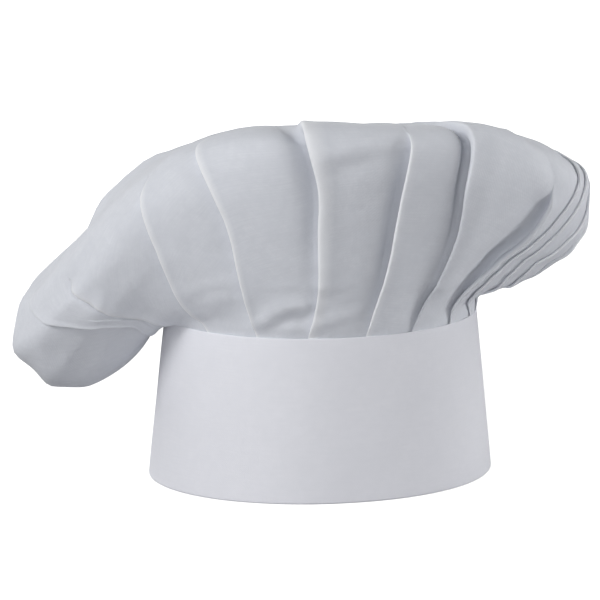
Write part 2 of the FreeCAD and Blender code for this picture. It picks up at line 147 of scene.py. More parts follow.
# ---- surfaces of the band and the tab
def from_opening(angle):
    return np.abs((angle - OPENING_MID + 180) % 360 - 180)


def band_wave(angle, z):
    """Soft unevenness of the band's radius, calm round the opening."""
    low = 1.0 - 0.55 * smooth(z, 0, SEAM)
    wave = 0.55 * wave_noise(angle, z * 0.55, seed=11, scale=3) * (0.5 + 0.5 * low)
    wave = wave + 0.10 * wave_noise(angle, z, seed=12, scale=13)
    return wave * smooth(from_opening(angle), 20, 60)


def band_at(angle, z, off):
    """Point off mm outside the band's outer face, at a rear angle and a height."""
    angle, z, off = np.broadcast_arrays(angle, z, off)
    radius = RIM - TAPER * z + off + band_wave(angle, z)
    turn = np.radians(angle)
    skew = -2.2 * (1 - z / SEAM) * smooth(from_opening(angle), 35, 85)
    return np.stack([radius * np.sin(turn) + skew, radius * np.cos(turn), z], -1)


def tab_off(angle):
    """How far the tab stands outside the band."""
    start, end = TAB_ROOT - 0.35, UNDERLAP - 0.4
    return TAB_RISE * smooth(start - np.asarray(angle, float), 0, start - end)


def tab_at(angle, z, off):
    """Like band_at, on the tab."""
    angle, z, off = np.broadcast_arrays(angle, z, off)
    radius = RIM - TAPER * z + off + tab_off(angle)
    turn = np.radians(angle)
    return np.stack([radius * np.sin(turn), radius * np.cos(turn), z], -1)


# ---- the crown's base shape
# Sections of the crown by direction: (radius, height above the seam). Every section also starts
# at FOOT, inside the band, and ends at TOP.
FOOT = (85.9, -7)
TOP = (0, 105)
SECTIONS = {
    0: [
        (86.0, -2), (86.3, 0), (88.6, 5), (91, 14), (95, 28), (100, 45), (105, 64), (110, 84),
        (113.5, 99), (114.3, 108.5), (112, 116.3), (106, 121), (97, 122), (84, 120.4), (66, 117),
        (46, 113.5), (22, 109),
    ],
    45: [
        (86.0, -2), (86.3, 0), (88, 5), (92, 13), (99, 25), (107, 38), (116, 54), (125, 72),
        (131, 87), (132.5, 98.5), (130.5, 109), (124, 115), (113, 117), (98, 116.5), (78, 115),
        (54, 112), (26, 108.5),
    ],
    90: [
        (86.1, -2), (86.4, 0), (87.0, 4), (88.6, 9), (97, 12.5), (109, 15.5), (121, 20.3),
        (130.5, 26), (139.5, 31.5), (146.5, 41), (150.5, 53.5), (151.5, 66), (149.5, 75),
        (143.5, 82), (132, 88.5), (117, 95), (100, 101), (84, 104), (60, 106.5), (30, 106.5),
    ],
    135: [
        (86.0, -2), (86.3, 0), (88, 4), (94, 8), (104, 13), (117, 21), (130, 32), (139, 45),
        (143, 58), (141, 70), (132, 80), (116, 87), (94, 93), (66, 99), (34, 103),
    ],
    180: [
        (86.0, -2), (86.3, 0), (88.5, 4), (95, 7), (106, 12), (118, 20), (128, 31), (134, 44),
        (134.5, 57), (129, 69), (117, 79), (98, 87), (74, 93), (44, 99), (20, 102.5),
    ],
    225: [
        (86.0, -2), (86.4, 0), (89, 1), (95, -3), (106, -7), (120, -8), (133, -3), (144, 7),
        (150, 19), (150, 32), (143, 45), (129, 57), (108, 69), (82, 81), (52, 92), (24, 100),
    ],
    270: [
        (86.0, -2), (86.4, 0), (88.5, 0.2), (91, -7), (101, -17.5), (114, -27.5), (126, -34.5),
        (134, -37), (147, -36), (152.5, -34.3), (160.5, -25.5), (169.5, -16.5), (168.8, -5),
        (166.5, 7), (162.5, 15.5), (154.5, 25), (144.8, 37), (133.3, 48.5), (119.8, 67),
        (100, 84.3), (81, 94), (62, 101), (45, 104), (22, 105),
    ],
    315: [
        (86.0, -2), (86.3, 0), (88.5, 4), (92, 9), (100, 19), (109, 33), (117, 49), (123, 66),
        (124.3, 79.5), (121, 92), (114, 102.5), (103, 108), (88, 111.2), (70, 112.2), (50, 111),
        (24, 108.5),
    ],
}
DIRECTIONS = 720  # size of the (direction, level) tables
LEVELS = 241
HIDDEN = 7.0  # length of cloth below the seam


def catmull(before, start, end, after, t):
    return 0.5 * (
        2 * start
        + (end - before) * t
        + (2 * before - 5 * start + 4 * end - after) * t * t
        + (3 * start - before - 3 * end + after) * t ** 3
    )


def even_curve(outline):
    """LEVELS points at equal steps along a curve through the outline, and its length."""
    knots = np.array(outline, float)
    knots = np.vstack([2 * knots[0] - knots[1], knots, 2 * knots[-1] - knots[-2]])
    fine = []
    for i in range(1, len(knots) - 2):
        for t in np.linspace(0, 1, 16, endpoint=False):
            fine.append(catmull(*knots[i - 1 : i + 3], t))
    fine = np.array(fine + [knots[-2]])
    steps = np.linalg.norm(np.diff(fine, axis=0), axis=1)
    run = np.concatenate([[0], np.cumsum(steps)])
    wanted = np.linspace(0, run[-1], LEVELS)
    return np.stack([np.interp(wanted, run, fine[:, axis]) for axis in (0, 1)], -1), run[-1]


def base_table():
    """Points of the plain bag, its length of cloth by direction, and heights along the cloth."""
    curves, lengths = zip(*(even_curve([FOOT, *line, TOP]) for line in SECTIONS.values()))
    curves, lengths = np.array(curves), np.array(lengths)
    direction = np.arange(DIRECTIONS) * 360.0 / DIRECTIONS
    place = direction / 45.0
    section = place.astype(int)
    t = place - section
    near = [(section + step) % len(curves) for step in (-1, 0, 1, 2)]
    outline = catmull(*(curves[i] for i in near), t[:, None, None])
    length = catmull(*(lengths[i] for i in near), t)
    run = np.linspace(0, 1, LEVELS) * length[:, None]
    turn = np.radians(direction)[:, None]
    radius, height = outline[..., 0], outline[..., 1]
    sag = 2.4 * smooth(run, 12, 42)
    table = [radius * np.sin(turn), -radius * np.cos(turn), SEAM + height - sag]
    return np.stack(table, -1), length, run - HIDDEN


BASE, LENGTH, CLOTH_HEIGHT = base_table()


def surface_normals(table):
    around = np.roll(table, -1, 0) - np.roll(table, 1, 0)
    normals = unit(np.cross(around, np.gradient(table, axis=1)))
    normals[:, -1] = normals[:, -2].mean(0)
    return normals


def relax(field, times):
    """Average a table with its neighbours; its first and last levels only round the crown."""
    for _ in range(times):
        field = (field + np.roll(field, 1, 0) + np.roll(field, -1, 0)) / 3.0
        inner = (field[:, :-2] + field[:, 1:-1] + field[:, 2:]) / 3.0
        field = np.concatenate([field[:, :1], inner, field[:, -1:]], 1)
    return field


def look_up(table, direction, level):
    """Bilinear read of a table of vectors; level runs from 0 to 1."""
    u = (direction % 360.0) * DIRECTIONS / 360.0
    v = np.clip(level, 0, 1) * (LEVELS - 1)
    i0 = np.floor(u).astype(int) % DIRECTIONS
    i1 = (i0 + 1) % DIRECTIONS
    j0 = np.minimum(np.floor(v).astype(int), LEVELS - 2)
    fu, fv = (u - np.floor(u))[..., None], (v - j0)[..., None]
    return (
        table[i0, j0] * (1 - fu) * (1 - fv)
        + table[i1, j0] * fu * (1 - fv)
        + table[i0, j0 + 1] * (1 - fu) * fv
        + table[i1, j0 + 1] * fu * fv
    )


# ---- the crown's cloth settles
COARSE = 4  # the draped mesh takes every fourth point of the table
DRAPE_FRAMES = 24


def simulate(ob, held):
    """Run the cloth simulation and return the settled points in mm."""
    group = ob.vertex_groups.new(name="held")
    levels = np.round(held.ravel() * 40) / 40
    for level in np.unique(levels):
        members = [int(i) for i in np.flatnonzero(levels == level)]
        group.add(members, float(level), "REPLACE")
    group.add([levels.size], 0.3, "REPLACE")  # the top point
    modifier = ob.modifiers.new("cloth", "CLOTH")
    settings = modifier.settings
    settings.quality = 5
    settings.mass = 0.25
    settings.tension_stiffness = 12
    settings.compression_stiffness = 12
    settings.shear_stiffness = 4
    settings.bending_stiffness = 0.6
    settings.air_damping = 2.0
    settings.vertex_group_mass = "held"
    settings.pin_stiffness = 0.6
    settings.shrink_min = -0.035  # negative: the cloth is larger than its shape
    settings.shrink_max = -0.035
    modifier.collision_settings.use_self_collision = False
    modifier.point_cache.frame_start = 1
    modifier.point_cache.frame_end = DRAPE_FRAMES
    for f in range(1, DRAPE_FRAMES + 1):
        bpy.context.scene.frame_set(f)
    settled = ob.evaluated_get(bpy.context.evaluated_depsgraph_get())
    flat = np.zeros(len(ob.data.vertices) * 3, np.float32)
    settled.data.vertices.foreach_get("co", flat)
    bpy.context.scene.frame_set(1)
    return flat.reshape(-1, 3).astype(float) / MM


def refine(coarse):
    """Bring a coarse table of movements back to full size."""
    count, last = coarse.shape[0], coarse.shape[1] - 1
    u = np.arange(DIRECTIONS) / COARSE
    v = np.arange(LEVELS) / COARSE
    i0 = np.floor(u).astype(int) % count
    j0 = np.minimum(np.floor(v).astype(int), last - 1)
    fu = (u - np.floor(u))[:, None, None]
    fv = (v - j0)[None, :, None]
    a, b = coarse[i0], coarse[(i0 + 1) % count]
    lower = a[:, j0] * (1 - fu) + b[:, j0] * fu
    upper = a[:, j0 + 1] * (1 - fu) + b[:, j0 + 1] * fu
    return lower * (1 - fv) + upper * fv


def drape(table):
    """Let the bag sag as loose cloth held at its seam, and add that movement, capped."""
    coarse = table[::COARSE, ::COARSE]
    count, rings = coarse.shape[0], coarse.shape[1] - 1
    points = np.vstack([coarse[:, :rings].reshape(-1, 3), coarse[:, -1].mean(0)[None]])
    faces = []
    for i in range(count):
        here, beside = i * rings, (i + 1) % count * rings
        for j in range(rings - 1):
            faces.append((here + j, beside + j, beside + j + 1, here + j + 1))
        faces.append((here + rings - 1, beside + rings - 1, count * rings))
    ob = new_mesh("drape", points, faces)
    s = CLOTH_HEIGHT[::COARSE, ::COARSE][:, :rings]
    front = np.cos(np.radians(np.arange(count) * 360.0 / count))[:, None]
    held = 0.30 + 0.25 * smooth(front, -0.2, 0.6)
    held = np.where(s < 5, 1.0, held + (1 - held) * (1 - smooth(s, 5, 30)))
    moved = simulate(ob, held) - points
    mesh = ob.data
    bpy.data.objects.remove(ob)
    bpy.data.meshes.remove(mesh)

    movement = np.zeros((count, rings + 1, 3))
    movement[:, :rings] = moved[:-1].reshape(count, rings, 3)
    movement[:, rings] = moved[-1]
    size = np.linalg.norm(movement, axis=-1)
    cap = 1.0 + 4.5 * (1 - smooth(front, -0.45, 0.15))
    movement = movement * (cap * np.tanh(size / cap) / np.maximum(size, 1e-6))[..., None]
    movement = refine(movement)
    # no wave shorter than about 28 mm round the crown, so the top doesn't pinch
    waves = np.fft.rfft(movement, axis=0)
    reach = np.linalg.norm(table[..., :2], axis=-1).mean(0) / 4.5 + 1.0
    number = np.arange(waves.shape[0])[:, None]
    waves *= (1 - smooth(number, reach[None] * 0.7, reach[None] * 1.3))[..., None]
    movement = relax(np.fft.irfft(waves, n=DIRECTIONS, axis=0), 6)
    movement[:, -1] = movement[:, -1].mean(0)
    return table + movement * smooth(CLOTH_HEIGHT, 4, 26)[..., None]


# ---- pleats
# Direction of each fold edge at the heights EDGE_AT of cloth above the seam. The panel of a pleat
# runs from its own edge to the next edge, under which it tucks.
EDGE_AT = (0, 15, 30, 45, 60, 75, 95, 120, 160, 200)
EDGES = [
    (-84, -75, -66.5, -64.6, -66, -69, -74, -84.5, -95, -98),
    (-64, -62, -60.5, -61.4, -62.5, -63.8, -67, -71, -74, -76),
    (-46, -47.5, -47.8, -47.2, -47, -47.5, -49, -51, -53, -54),
    (-24, -25, -25.6, -25.8, -26, -27.6, -31, -36.5, -39, -40),
    (-4.7, -2, -0.5, -0.5, -0.5, -0.1, 0.2, -2.6, -6.4, -8),
    (16.5, 18.3, 20.2, 21.2, 21.8, 22.1, 22.6, 24.2, 26, 27),
    (35, 37, 38.6, 39.6, 40.2, 39.6, 38.2, 39.6, 43, 45),
    (55, 53, 54.2, 57.6, 60.8, 63.4, 65.8, 66.5, 67, 67),
    (73, 62.4, 60, 61.6, 64, 67.4, 73, 82, 87, 88),
    (90, 77, 68.6, 66.8, 68, 71, 77.5, 88, 93, 94),
    (107, 92, 79, 73, 73.8, 77.8, 86.5, 96, 101, 103),
    (121, 109, 96, 88, 86.5, 90, 99, 108, 113, 115),
    (134, 128, 121, 117, 116, 117, 120, 125, 128, 130),
    (147.5, 146.5, 145, 143, 142, 142, 143, 145, 146, 147),
    (174, 173.5, 173, 172.5, 172, 171.5, 171, 170, 169, 169),
    (194, 194.5, 195, 195.5, 196, 196, 195, 194, 193, 192),
    (214, 215, 216, 217, 218, 218, 217, 216, 215, 214),
    (235.5, 237, 239, 241, 242, 242, 241, 240, 239, 238),
    (256, 261, 265, 268, 269, 268, 264, 258, 251, 248),
]
PLEATS = len(EDGES)
# For each pleat, at the heights STATIONS: the step at its fold edge, the valley on the low side
# of that edge, and how far its panel swells.
STATIONS = (15.0, 50.0, 90.0, 125.0, 165.0)
RELIEF = [
    ((1.6, 2.0, 2.2, 1.8, 1.0), (-0.2, -0.8, -1.0, -0.4, 0.4), (0.3, 0.4, 0.4, 0.6, 0.6)),
    ((1.8, 2.8, 3.0, 1.8, 0.6), (0.3, 2.0, 3.6, 1.8, 0.4), (0.4, 0.4, 0.8, 0.8, 0.4)),
    ((2.4, 3.0, 2.4, 1.2, 0.2), (0.4, 1.4, 1.2, 0.4, 0.1), (0.8, 1.0, 1.2, 1.0, 0.5)),
    ((2.4, 3.0, 2.4, 2.0, 0.6), (0.4, 1.2, 1.4, 1.6, 0.8), (0.6, 0.8, 1.2, 1.4, 0.8)),
    ((2.2, 3.0, 3.6, 4.4, 1.6), (0.4, 1.8, 5.4, 8.2, 2.6), (0.6, 0.8, 1.0, 1.4, 0.8)),
    ((2.2, 3.0, 3.2, 3.0, 1.0), (0.6, 4.2, 5.0, 1.4, 0.4), (0.6, 0.8, 1.0, 1.2, 0.8)),
    ((2.4, 3.2, 3.8, 4.2, 2.0), (0.8, 1.6, 5.6, 8.6, 4.0), (0.8, 1.4, 2.0, 2.2, 1.2)),
    ((2.2, 2.8, 2.8, 2.2, 0.6), (0.8, 5.4, 3.6, 2.4, 0.6), (0.4, 0.4, 0.6, 0.8, 0.6)),
    ((1.4, 1.0, 0.9, 0.8, 0.5), (0.3, 0.3, 0.3, 0.3, 0.2), (0.2, 0.2, 0.3, 0.5, 0.5)),
    ((1.4, 1.0, 0.9, 0.8, 0.5), (0.3, 0.3, 0.3, 0.3, 0.2), (0.2, 0.2, 0.3, 0.5, 0.5)),
    ((1.4, 1.1, 1.0, 0.9, 0.6), (0.3, 0.3, 0.4, 0.4, 0.3), (0.3, 0.4, 0.6, 0.9, 0.8)),
    ((2.0, 2.4, 2.6, 2.4, 1.1), (0.4, 1.0, 1.4, 1.6, 1.0), (0.5, 0.9, 1.4, 1.6, 1.0)),
    ((2.4, 3.2, 3.6, 3.0, 1.2), (0.6, 1.6, 2.4, 2.6, 1.2), (0.8, 1.6, 2.4, 2.2, 1.2)),
    ((2.2, 2.8, 3.0, 2.6, 1.0), (0.4, 1.2, 2.0, 2.2, 1.0), (0.4, 0.8, 1.6, 1.8, 1.0)),
    ((2.2, 3.0, 3.4, 3.0, 1.2), (0.4, 1.4, 2.2, 2.6, 1.2), (0.8, 1.6, 2.2, 2.2, 1.2)),
    ((2.4, 3.4, 3.8, 3.4, 1.5), (0.6, 1.8, 2.8, 3.2, 1.5), (0.8, 1.6, 2.4, 2.4, 1.2)),
    ((2.4, 3.6, 4.0, 3.6, 1.6), (0.6, 2.0, 3.0, 3.4, 1.6), (0.8, 1.8, 2.6, 2.6, 1.2)),
    ((2.4, 3.6, 4.2, 3.6, 1.6), (0.6, 2.0, 3.2, 3.4, 1.6), (0.8, 1.8, 2.6, 2.4, 1.2)),
    ((2.4, 3.4, 3.8, 3.2, 1.5), (0.6, 1.8, 2.6, 2.8, 1.4), (0.8, 1.4, 1.8, 1.6, 1.0)),
]
# Columns of one pleat: place across the panel, share of the depth of the fold under the next
# edge, shares of the step, the swell and the valley.
COLUMNS = [
    (0, 0, 0.72, 0, 0), (0.003, 0, 0.94, 0.01, 0), (0.014, 0, 1, 0.05, 0),
    (0.040, 0, 0.985, 0.14, 0), (0.085, 0, 0.93, 0.32, 0), (0.145, 0, 0.85, 0.54, 0),
    (0.215, 0, 0.76, 0.76, 0), (0.300, 0, 0.66, 0.94, 0), (0.390, 0, 0.55, 1, 0),
    (0.480, 0, 0.44, 0.97, 0.01), (0.570, 0, 0.34, 0.86, 0.06), (0.655, 0, 0.25, 0.68, 0.18),
    (0.735, 0, 0.17, 0.47, 0.38), (0.805, 0, 0.10, 0.28, 0.62), (0.870, 0, 0.05, 0.13, 0.84),
    (0.930, 0, 0.02, 0.05, 0.97), (0.975, 0, 0, 0.01, 1), (1, 0.15, 0, 0, 0.97),
    (1, 0.50, 0, 0, 0.90), (1, 0.85, 0.03, 0, 0.82), (1, 1, 0.12, 0, 0.74),
    (1, 1.02, 0.26, 0, 0.70), (1, 0.86, 0.37, 0, 0.64), (1, 0.55, 0.42, 0, 0.52),
    (1, 0.22, 0.44, 0, 0.34), (1, 0.05, 0.50, 0, 0.14),
]
PER_PLEAT = len(COLUMNS)
OPEN_COLUMNS = 17  # the columns before this one lie on the panel, the rest in the fold
ACROSS, FOLD_SHARE, STEP_SHARE, SWELL_SHARE, VALLEY_SHARE = np.array(COLUMNS, float).T

LIP = (0.25, 0.7, 1.0, 0.95, 0.5, 0.12)  # the rounded lip of a fold edge, by column
# by pleat: size of that lip, and how strongly a painted highlight whitens its fold edge, where the
# doubled cloth also shows whiter
LIP_SIZE = (
    0.9, 1.6, 1.6, 1.6, 1.0, 0.8, 0.3, 0.5, 0.5, 0.5, 0.5, 0.5, 0.5, 0.5, 0.5, 0.5, 0.5, 0.6, 0.6,
)
EDGE_HIGHLIGHT = (
    0.4, 1.0, 1.0, 1.0, 0.8, 0.8, 0.15, 0.5, 0.8, 0.8, 0.8, 0.6, 0.5, 0.5, 0.5, 0.5, 0.5, 0.5, 0.5,
)
# spread of the painted highlight over the first columns
HIGHLIGHT_SPREAD = (1.0, 1.0, 0.8, 0.15, 0, 0)
WIDE_HIGHLIGHT_SPREAD = {
    2: (1.0, 1.0, 1.0, 0.4, 0.0, 0.0),
    3: (1.0, 1.0, 1.0, 0.4, 0.0, 0.0),
    4: (1.0, 1.0, 1.0, 0.85, 0.6, 0.3),
    5: (1.0, 1.0, 0.9, 0.4, 0.15, 0.0),
}
# heights over which a fold edge dies out on its panel
TIPS = {
    0: (112.0, 128.0), 1: (91.0, 103.0), 2: (98.0, 124.0),
    3: (98.0, 150.0), 5: (114.0, 136.0), 7: (88.0, 102.0),
}
NO_TIP = (900, 901)  # beyond the cloth
TIGHT = {1: 0.45, 2: 0.7, 3: 0.7, 4: 0.5, 5: 0.42, 6: 0.34}  # narrower valleys
# folds pressed shut on the layer below
SHUT = {
    8: 1.0, 9: 1.0, 10: 1.0, 11: 1.0, 12: 0.7, 0: 0.6, 1: 0.5, 2: 0.5, 3: 0.5, 13: 0.3, 18: 0.5,
}
# the fold edges are set back by this much at STATIONS, thin layers by a share of it
SET_BACK = (1.9, 2.5, 2.8, 2.4, 1.2)
SET_BACK_SHARE = {7: 0.85, 8: 0.6, 9: 0.5, 10: 0.5, 11: 0.7}
SEAM_STEP = 1.1  # step of every fold where it leaves the seam
STEP_END = 215.0  # cloth height at which steps and valleys have gone
SWELL_END = 225.0

SLIT_AT = 160.3  # direction
SLIT_TALL = 52.0
SLIT_HALF = 9.3  # half its width at the seam
SLIT_PLEAT = 13
SLIT_COLUMN = 9  # it opens between this column and the next
CLOTH = 262.0  # cloth height of the last row, before it is stretched to the bag

# Soft crests and dents on single panels: (direction, cloth height) points along each, then its
# height and half width in mm.
CRESTS = [
    ([(-21, 7), (-18, 12), (-14, 17), (-10, 20), (-5.5, 20.5)], 1.7, 4.5),
    ([(-18, 3), (-14, 8.5), (-10.5, 11), (-6.5, 11)], -1.2, 3.5),
    ([(-14, 4), (-10, 5)], 0.8, 3.0),
    ([(-1, 9), (6, 12.5), (13, 15.5)], 1.0, 4.5),
    ([(2, 4), (8, 6.5)], -0.5, 3.0),
    ([(2.2, 36), (2.4, 80), (1.4, 112), (-1, 128)], 2.0, 5.0),
    ([(-66, 42), (-77, 66)], -5.5, 20.0),
    ([(-100, 150), (-88, 144)], -3.6, 9.0),
    ([(-91, 133), (-91, 122), (-90, 108)], 1.4, 5.0),
    ([(-62.5, 60), (-63.5, 72)], 1.2, 3.5),
    ([(-84, 86), (-79, 92), (-72, 84), (-64.5, 74)], 1.6, 6.0),
    ([(24.2, 30), (24.8, 60), (25.2, 100)], 0.9, 4.5),
    ([(41.5, 30), (43.5, 60), (43, 98), (44.5, 126)], 2.2, 6.5),
    ([(63, 98), (60, 118), (55, 135)], 0.9, 3.0),
    ([(3.5, 117), (8, 117.5), (13, 121), (18, 122)], 1.0, 5.0),
    ([(6, 106), (14, 110)], -1.0, 7.0),
    ([(57, 114), (61, 103)], 1.0, 4.0),
    ([(-36, 20), (-30, 28)], 0.7, 6.0),
    ([(24, 12), (30, 18)], 0.6, 5.0),
    ([(-43.5, 30), (-43.5, 60)], 0.8, 4.5),
    ([(-21, 30), (-22, 60), (-25, 85)], 0.9, 4.5),
    ([(120, 60), (126, 40)], 1.5, 7.0),
    ([(206, 70), (212, 95)], -1.5, 9.0),
    ([(226, 30), (232, 62)], 1.5, 9.0),
    ([(246, 80), (250, 110)], -1.5, 9.0),
    ([(-103, 118), (-102, 128)], 2.4, 9.0),
    ([(-86, 172), (-82, 188)], 2.2, 12.0),
    ([(72, 146), (83, 130), (88, 118)], 1.6, 10.0),
    ([(91, 38), (89, 59), (90, 72)], -1.7, 10.0),
]
CREST_RADIUS = 100.0  # turns directions into mm when measuring distance to a crest


def crest_height(direction, s):
    """Height all the crests add at points of the cloth."""
    total = np.zeros(direction.shape)
    scale = math.radians(1) * CREST_RADIUS
    for path, height, half in CRESTS:
        nearest = np.full(direction.shape, 1e9)
        for (direction0, s0), (direction1, s1) in zip(path, path[1:]):
            run, rise = (direction1 - direction0) * scale, s1 - s0
            x = ((direction - direction0 + 180) % 360 - 180) * scale
            y = s - s0
            t = np.clip((x * run + y * rise) / (run ** 2 + rise ** 2), 0, 1)
            nearest = np.minimum(nearest, np.hypot(x - t * run, y - t * rise))
        total += height * np.exp(-((nearest / half) ** 2))
    return total


def along_cloth(values, s, end):
    return np.interp(s, [0.0, *STATIONS, end], [values[0] * 0.8, *values, 0.0])


def edge_direction(k, s):
    """Direction of fold edge k, with the corners between the listed points rounded."""
    reach = np.minimum(1.0, 0.1 + s / 20.0)
    steps = (-10, -7, -4, -1.5, 1.5, 4, 7, 10)
    near = [np.interp(s + step * reach, EDGE_AT, EDGES[k % PLEATS]) for step in steps]
    return 360.0 * (k // PLEATS) + np.mean(near, axis=0)


def edge_left(k, s):
    """1 while fold edge k stands, 0 above its tip."""
    return 1 - smooth(s, *TIPS.get(k, NO_TIP))


def edge_step(k, s, grow):
    full = along_cloth(RELIEF[k][0], s, STEP_END) * edge_left(k, s)
    return SEAM_STEP + (full - SEAM_STEP) * grow


def first_columns(values):
    return np.pad(np.array(values, float), (0, PER_PLEAT - len(values)))


def row_heights():
    """Cloth height of each row of the crown; rows spread out towards the top."""
    rows, s = [], -HIDDEN
    while s < CLOTH:
        rows.append(s)
        if s < 0:
            s += 2.4
        elif s < 24:
            s += 2.0
        elif s < 150:
            s += 2.7
        else:
            s += 2.7 + (s - 150) * 0.05
    return np.array(rows)


def slit_places(edge, width, s):
    """Places across the slit's panel, pushed to either side of the slit."""
    half = np.where(s < SLIT_TALL, SLIT_HALF * (1 - np.minimum(s / SLIT_TALL, 1) ** 1.6), 0.0)
    half = np.degrees(half / (87.0 + 0.5 * s)) / width
    left, right = ACROSS[SLIT_COLUMN], ACROSS[SLIT_COLUMN + 1]
    half = np.maximum(half, (right - left) / 2)
    middle = (SLIT_AT - edge) / width
    fade = 1 - smooth(s, SLIT_TALL, SLIT_TALL + 30)
    before = ACROSS * (1 + ((middle - half) / left - 1) * fade)
    beyond = 1 - (1 - ACROSS) * (1 + ((1 - (middle + half)) / (1 - right) - 1) * fade)
    return np.where(np.arange(PER_PLEAT) <= SLIT_COLUMN, before, beyond)


def pleat(k, s):
    """Direction, height off the bag, and shares of painted highlight and painted shade of one
    pleat, by (row, column).
    """
    after = (k + 1) % PLEATS
    edge = edge_direction(k, s)
    width = edge_direction(k + 1, s) - edge
    next_width = edge_direction(after + 1, s) - edge_direction(after, s)
    column = np.arange(PER_PLEAT)
    in_fold = column >= OPEN_COLUMNS
    q = column / PER_PLEAT
    flatten = smooth(s, 118, 205)
    # where the cloth turns down straight from the seam, the folds open more slowly
    drop = float(smooth(-math.sin(math.radians(EDGES[k][1] + 8)), 0.45, 0.9))
    grow = smooth(s, 4.0 * drop, 10.0 + 16.0 * drop)
    left, left_next = edge_left(k, s), edge_left(after, s)

    depth = (0.40 + 0.12 * smooth(s, 6, 30)) * (1 - smooth(s, 30, 150))
    depth = depth + 0.05 * (1 - smooth(s, 120, 175))
    depth = depth * np.minimum(width, next_width) / width * left_next
    across = slit_places(edge, width, s) if k == SLIT_PLEAT else ACROSS
    across = across + FOLD_SHARE * depth
    across = across - in_fold * 0.02 * (1 - left_next) * (PER_PLEAT - column) / 10.0
    across = across * (1 - flatten) + q * flatten

    step, next_step = edge_step(k, s, grow), edge_step(after, s, grow)
    swell = along_cloth(RELIEF[k][2], s, SWELL_END) * grow
    valley = along_cloth(RELIEF[after][1], s, STEP_END) * left_next * grow
    tight = TIGHT.get(after, 1.0)
    place = ACROSS[:OPEN_COLUMNS]
    narrowed = np.interp(1 - (1 - place) / tight, place, VALLEY_SHARE[:OPEN_COLUMNS])
    valley_share = VALLEY_SHARE.copy()
    valley_share[:OPEN_COLUMNS] = np.where(place > 1 - tight, narrowed, 0.0)
    shut = in_fold * SHUT.get(after, 0.0)
    lip = first_columns(LIP) * LIP_SIZE[k] * left * grow * np.minimum(step / 2.0, 1.0)
    high = (
        STEP_SHARE * (1 - 0.55 * shut) * np.where(in_fold, next_step, step)
        + SWELL_SHARE * swell
        - (valley_share + (0.97 - valley_share) * shut) * valley
        + lip
    )
    soft = 0.35 * step * np.cos(2 * math.pi * q) + 0.25 * step - 0.15 * valley
    spread = first_columns(WIDE_HIGHLIGHT_SPREAD.get(k, HIGHLIGHT_SPREAD))
    return (
        edge + across * width,
        high * (1 - flatten) + soft * flatten,
        # the last two: where the fold edge gets painted highlight, and painted shade that deepens
        # with the valley
        spread * EDGE_HIGHLIGHT[k] * left * (1 - flatten),
        np.clip(valley_share * valley / 9.0, 0, 1) * (1 - flatten),
    )


def pleated_cloth(table):
    """The pleated cloth by (row, column): row heights, points, UV, and the shares of painted
    highlight and painted shade.
    """
    rows = row_heights()
    s = np.maximum(rows, 0.0)[:, None]
    parts = zip(*(pleat(k, s) for k in range(PLEATS)))
    direction, high, painted_highlight, sunk = (np.hstack(part) for part in parts)

    # the cloth is stretched or shortened upwards to the bag's own length
    ring = np.arange(DIRECTIONS + 1) * 360.0 / DIRECTIONS
    length = np.interp(direction % 360.0, ring, np.append(LENGTH, LENGTH[0]))
    whole = CLOTH + HIDDEN
    done = np.clip((rows[:, None] + HIDDEN) / whole, 0, 1)
    real = rows[:, None] + (length - whole) * smooth(done, 0.25, 1.0)
    level = (real + HIDDEN) / length

    # the fold edges, not the panels' feet, lie on the bag
    grow = smooth(s, 0.0, 10.0)
    back = along_cloth(SET_BACK, s, STEP_END) * grow + 0.9 * (1 - grow)
    share = np.array([SET_BACK_SHARE.get(k, 1.0) for k in range(PLEATS)])
    place = np.arange(PLEATS * PER_PLEAT) / PER_PLEAT
    k = place.astype(int)
    share = share[k] * (1 - place % 1) + share[(k + 1) % PLEATS] * (place % 1)
    high = high - back * share + crest_height(direction, s) * grow
    rumple = smooth(s, 5, 60) * (1 - smooth(s, 165, 235))
    high = high + 0.40 * wave_noise(direction, s, seed=31, scale=8) * rumple

    normals = unit(relax(surface_normals(table), 3))
    points = look_up(table, direction, level)
    points = points + look_up(normals, direction, level) * high[..., None]
    turn = 2 * math.pi * place / PLEATS
    radius = 300.0 * (1 - done)  # the UV map is a disc with the seam as its rim
    flat = np.stack([radius * np.cos(turn), radius * np.sin(turn)], -1)
    return rows, points, flat, painted_highlight, sunk


ROWS, CLOTH_POINTS, CLOTH_UV, HIGHLIGHT_SHARE, SUNK_SHADE_SHARE = pleated_cloth(drape(BASE))
SLIT_LEFT = SLIT_PLEAT * PER_PLEAT + SLIT_COLUMN  # the columns along the slit's two edges
SLIT_RIGHT = SLIT_LEFT + 1


